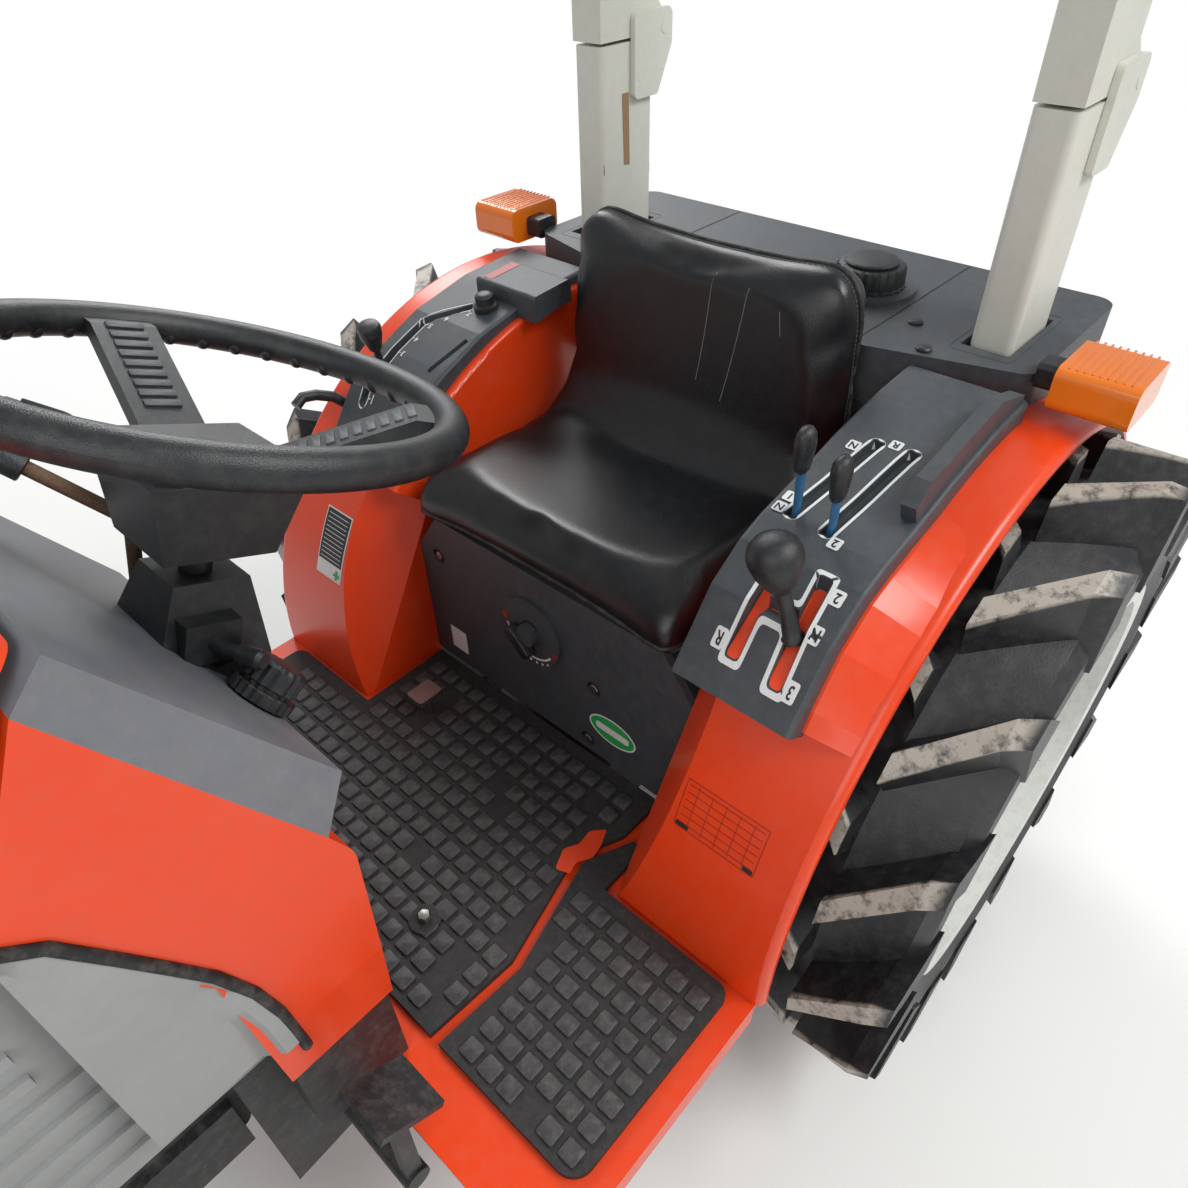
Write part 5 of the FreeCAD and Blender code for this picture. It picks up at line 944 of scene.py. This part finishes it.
stripe = rounded([(-206, 1004), (-104, 1022), (-104, 1036), (-206, 1018)], 0.5)
tape = rounded([(-158, 1026), (-146, 1028), (-142, 1120), (-156, 1120)], 1)
printed("post_stripe", SEAL_RUBBER, [stripe], POST_INSIDE, 0.2, 0.15)
printed("post_tape", BROWN_TAPE, [tape], POST_INSIDE, 0.5, 0.15)
print("rear cover and posts dressed")

# %% [markdown]
# ## Dashboard
# A big ridged knob sets the engine's cold start, a small stalk works the lamps, and the hand throttle has a
# black sleeve. A rubber seal closes the gap between the orange cowl and the grey side panel, whose end is
# bent to the cowl. The turn signals have ribs across their tops.

# %% Knob, stalk, throttle sleeve, seal and lens ribs
knob_foot, knob_axis = spot(731, 82, 869), Vector((-0.851, 0, 0.524))
turned_piece("ridged_dash_knob", BLACK_ABS, [
    (knob_foot, knob_axis, [(0, 28.5), (9, 28.5), (10.5, 27)], 96, 1.0, 24, 0.05),
    (knob_foot + knob_axis * 0.0105, knob_axis, [(0, 22), (3, 22), (4, 25), (20, 24.5), (23, 22), (24, 17)],
     96, 1.0, 16, 0.08)], slot="black_plastic", instead_of=("dash_knob",))
turned_piece("column_stalk", BLACK_ABS, [
    (spot(737, 50, 915), (-0.35, 1, -0.05), [(0, 6), (26, 5), (27, 8), (46, 8.5), (50, 6)], 18)])
throttle = Vector((46, -38, 58)).normalized()
turned_piece("throttle_sleeve", BLACK_ABS, [(spot(773, -100, 1035) - throttle * 0.002, throttle,
                                             [(0, 11), (1, 12.7), (38, 12.7), (41.5, 10), (43, 5)], 20)], 50)
cowl = surface_of("cowl")
SEAL_LINE = [(958, 905), (935, 884), (911, 840), (890, 800), (868, 757), (852, 712), (843, 668), (838, 600)]
PANEL_START, ACROSS, END_LIFT = 961.5, 8, 0.0035
seal = bmesh.new()
for side in (-1, 1):
    path = []
    for x, z in SEAL_LINE:
        met = cowl.ray_cast(spot(x, side * 260, z), -Y * side, 0.2)[0]
        if met is not None:
            path.append(met + Y * side * 0.001)
    rod(seal, path, 5.0, 10)
finished("cowl_seal", SEAL_RUBBER, seal, 60)
edge = bmesh.new()
for side in (-1, 1):
    rows = []
    for (x_high, z_high), (x_low, z_low) in zip(SEAL_LINE, SEAL_LINE[1:]):
        for share in (0.0, 0.25, 0.5, 0.75):
            x, z = x_high + (x_low - x_high) * share, z_high + (z_low - z_high) * share
            rows.append([edge.verts.new(spot(x + (PANEL_START - x) * k / ACROSS, side * 190, z))
                         for k in range(ACROSS + 1)])
    for high, low in zip(rows, rows[1:]):
        for i in range(ACROSS):
            edge.faces.new((high[i], high[i + 1], low[i + 1], low[i]))
    for vert in sum(rows, []):
        met = cowl.ray_cast(vert.co + Y * side * 0.07, -Y * side, 0.2)[0]
        if met is not None:
            vert.co = met + Y * side * END_LIFT
finished("side_panel_end", COVER_ENAMEL, edge)
ribs = bmesh.new()
block(ribs, ORIGIN, X, Y, plate(84.0, 2.6, 1.0), 1.4, 0.6)
places = [(spot(-76, side * (412 + 7.6 * k), 967.2), X, Y) for side in (-1, 1) for k in range(9)]
repeated("lens_ribs", AMBER_LENS, ribs, places)
print("dashboard dressed")

# %% [markdown]
# ## Wheels
# Each wheel is held by nuts on a ring round its hub. They turn with the wheel.

# %% Wheel nuts
REAR, FRONT = (0, 440, 8, 74), (1420, 290, 5, 47)
for wheel, side, (x, z, count, ring) in (("rear_left", 1, REAR), ("rear_right", -1, REAR),
                                         ("front_left", 1, FRONT), ("front_right", -1, FRONT)):
    rim_solid = surface_of(wheel.replace("_", "_rim_"))
    nut, places = bmesh.new(), []
    turned(nut, Vector((0, 0, -0.001)), Z,
           [(0, 15), (3, 15), (3.2, 11.5), (13, 11.5), (15, 9), (15.2, 6), (20, 5.5)], 6)
    for k in range(count):
        angle = TURN * (k + 0.5) / count
        far = spot(x + ring * math.cos(angle), side * 620, z + ring * math.sin(angle))
        met = rim_solid.ray_cast(far, -Y * side, 0.4)[0]
        if met is not None:
            places.append((met, X, Z if side < 0 else -Z))
    repeated("wheel_nuts_" + wheel, ZINC_STEEL, nut, places, body="wheel_" + wheel)
print("wheel nuts set")

# %% [markdown]
# ## Floor
# A wide pale floor catches the shadows. Seen by the camera, it turns plain white away from the tractor, so
# that its far edge doesn't show.


# %% Floor and backdrop
FLOOR_HALF, WHITE_FROM, WHITE_FULL = 14.0, 1.4, 3.2
PLAIN_WHITE = {"Color": (1.0, 1.0, 1.0, 1.0), "Strength": 1.0}


def studio_floor():
    """A wide square with its own material."""
    mesh = bpy.data.meshes.new("studio_floor")
    corners = [(x * FLOOR_HALF, y * FLOOR_HALF, 0) for x, y in ((-1, -1), (1, -1), (1, 1), (-1, 1))]
    mesh.from_pydata(corners, [], [(0, 1, 2, 3)])
    floor = linked("studio_floor", mesh)
    material, tree = bare_net(bpy.data.materials.new("studio_floor"))
    pale = add_node(tree, "BsdfDiffuse", {"Color": light("#E9E9E6")})
    white = add_node(tree, "Emission", PLAIN_WHITE)
    place = add_node(tree, "TexCoord").outputs["Object"]
    away = add_node(tree, "VectorMath", links={0: place}, operation="LENGTH")
    share = ranged(tree, away.outputs["Value"], WHITE_FROM, WHITE_FULL)
    seen = add_node(tree, "LightPath").outputs["Is Camera Ray"]
    both = add_node(tree, "Math", links={0: share, 1: seen}, operation="MULTIPLY")
    blend = add_node(tree, "MixShader", links={0: both, 1: pale, 2: white})
    add_node(tree, "OutputMaterial", links={"Surface": blend})
    mesh.materials.append(material)
    return floor


studio_floor()
print("floor laid")

# %% [markdown]
# ## Light
# Three big soft lamps and a pale sky keep every colour near what is written above. The camera itself sees
# plain white behind the tractor.


# %% Soft lamps and sky
def soft_lamp(name, place, target, width, power):
    """An oblong lamp at a place in metres, aimed at a target."""
    data = bpy.data.lights.new(name, "AREA")
    data.shape = "RECTANGLE"
    data.size, data.size_y = width, width * 0.7
    data.energy = power
    lamp = linked(name, data)
    lamp.location = place
    lamp.rotation_euler = (Vector(target) - Vector(place)).to_track_quat("-Z", "Y").to_euler()


soft_lamp("key_lamp", (-1.5, 3.0, 4.2), (0, 0, 0.8), 2.4, 150)
soft_lamp("fill_lamp", (3.5, 1.5, 3.0), (0, 0, 0.8), 3.5, 70)
soft_lamp("back_lamp", (-2.5, -3.0, 3.5), (0, 0, 0.9), 2.4, 120)
world, sky = bare_net(bpy.data.worlds.new("studio_world"))
around = add_node(sky, "Background", {"Color": light("#F2F4F6"), "Strength": 0.52})
behind = add_node(sky, "Background", PLAIN_WHITE)
seen = add_node(sky, "LightPath").outputs["Is Camera Ray"]
blend = add_node(sky, "MixShader", links={0: seen, 1: around, 2: behind})
add_node(sky, "OutputWorld", links={"Surface": blend})
bpy.context.scene.world = world
bpy.context.scene.view_settings.view_transform = "Standard"

# %% [markdown]
# ## Camera
# The photograph was taken from the driver's left, above the hood, looking down and back at the seat with a
# wide lens. Three angles and a place put the camera there.

# %% Camera at the photographer's place
CAMERA_PLACE = Vector((0.3458, 0.6213, 1.3909))
SENSOR, PHOTO_WIDE, FOCAL_PIXELS, NEAREST = 36.0, 1188, 884.3, 0.02
turn, dip, roll = (math.radians(angle) for angle in (43.48, 40.55, -1.89))
ahead = Vector((-math.cos(turn) * math.cos(dip), -math.sin(turn) * math.cos(dip), -math.sin(dip)))
right = ahead.cross(Z).normalized()
up = right.cross(ahead)
right, up = right * math.cos(roll) + up * math.sin(roll), up * math.cos(roll) - right * math.sin(roll)
camera_data = bpy.data.cameras.new("camera")
camera_data.sensor_width = SENSOR
camera_data.lens = FOCAL_PIXELS / PHOTO_WIDE * SENSOR
camera_data.clip_start = NEAREST
camera = linked("camera", camera_data)
camera.matrix_world = Matrix.Translation(CAMERA_PLACE) @ Matrix((right, up, -ahead)).transposed().to_4x4()
bpy.context.scene.camera = camera
print("camera lens", round(camera_data.lens, 2), "mm")
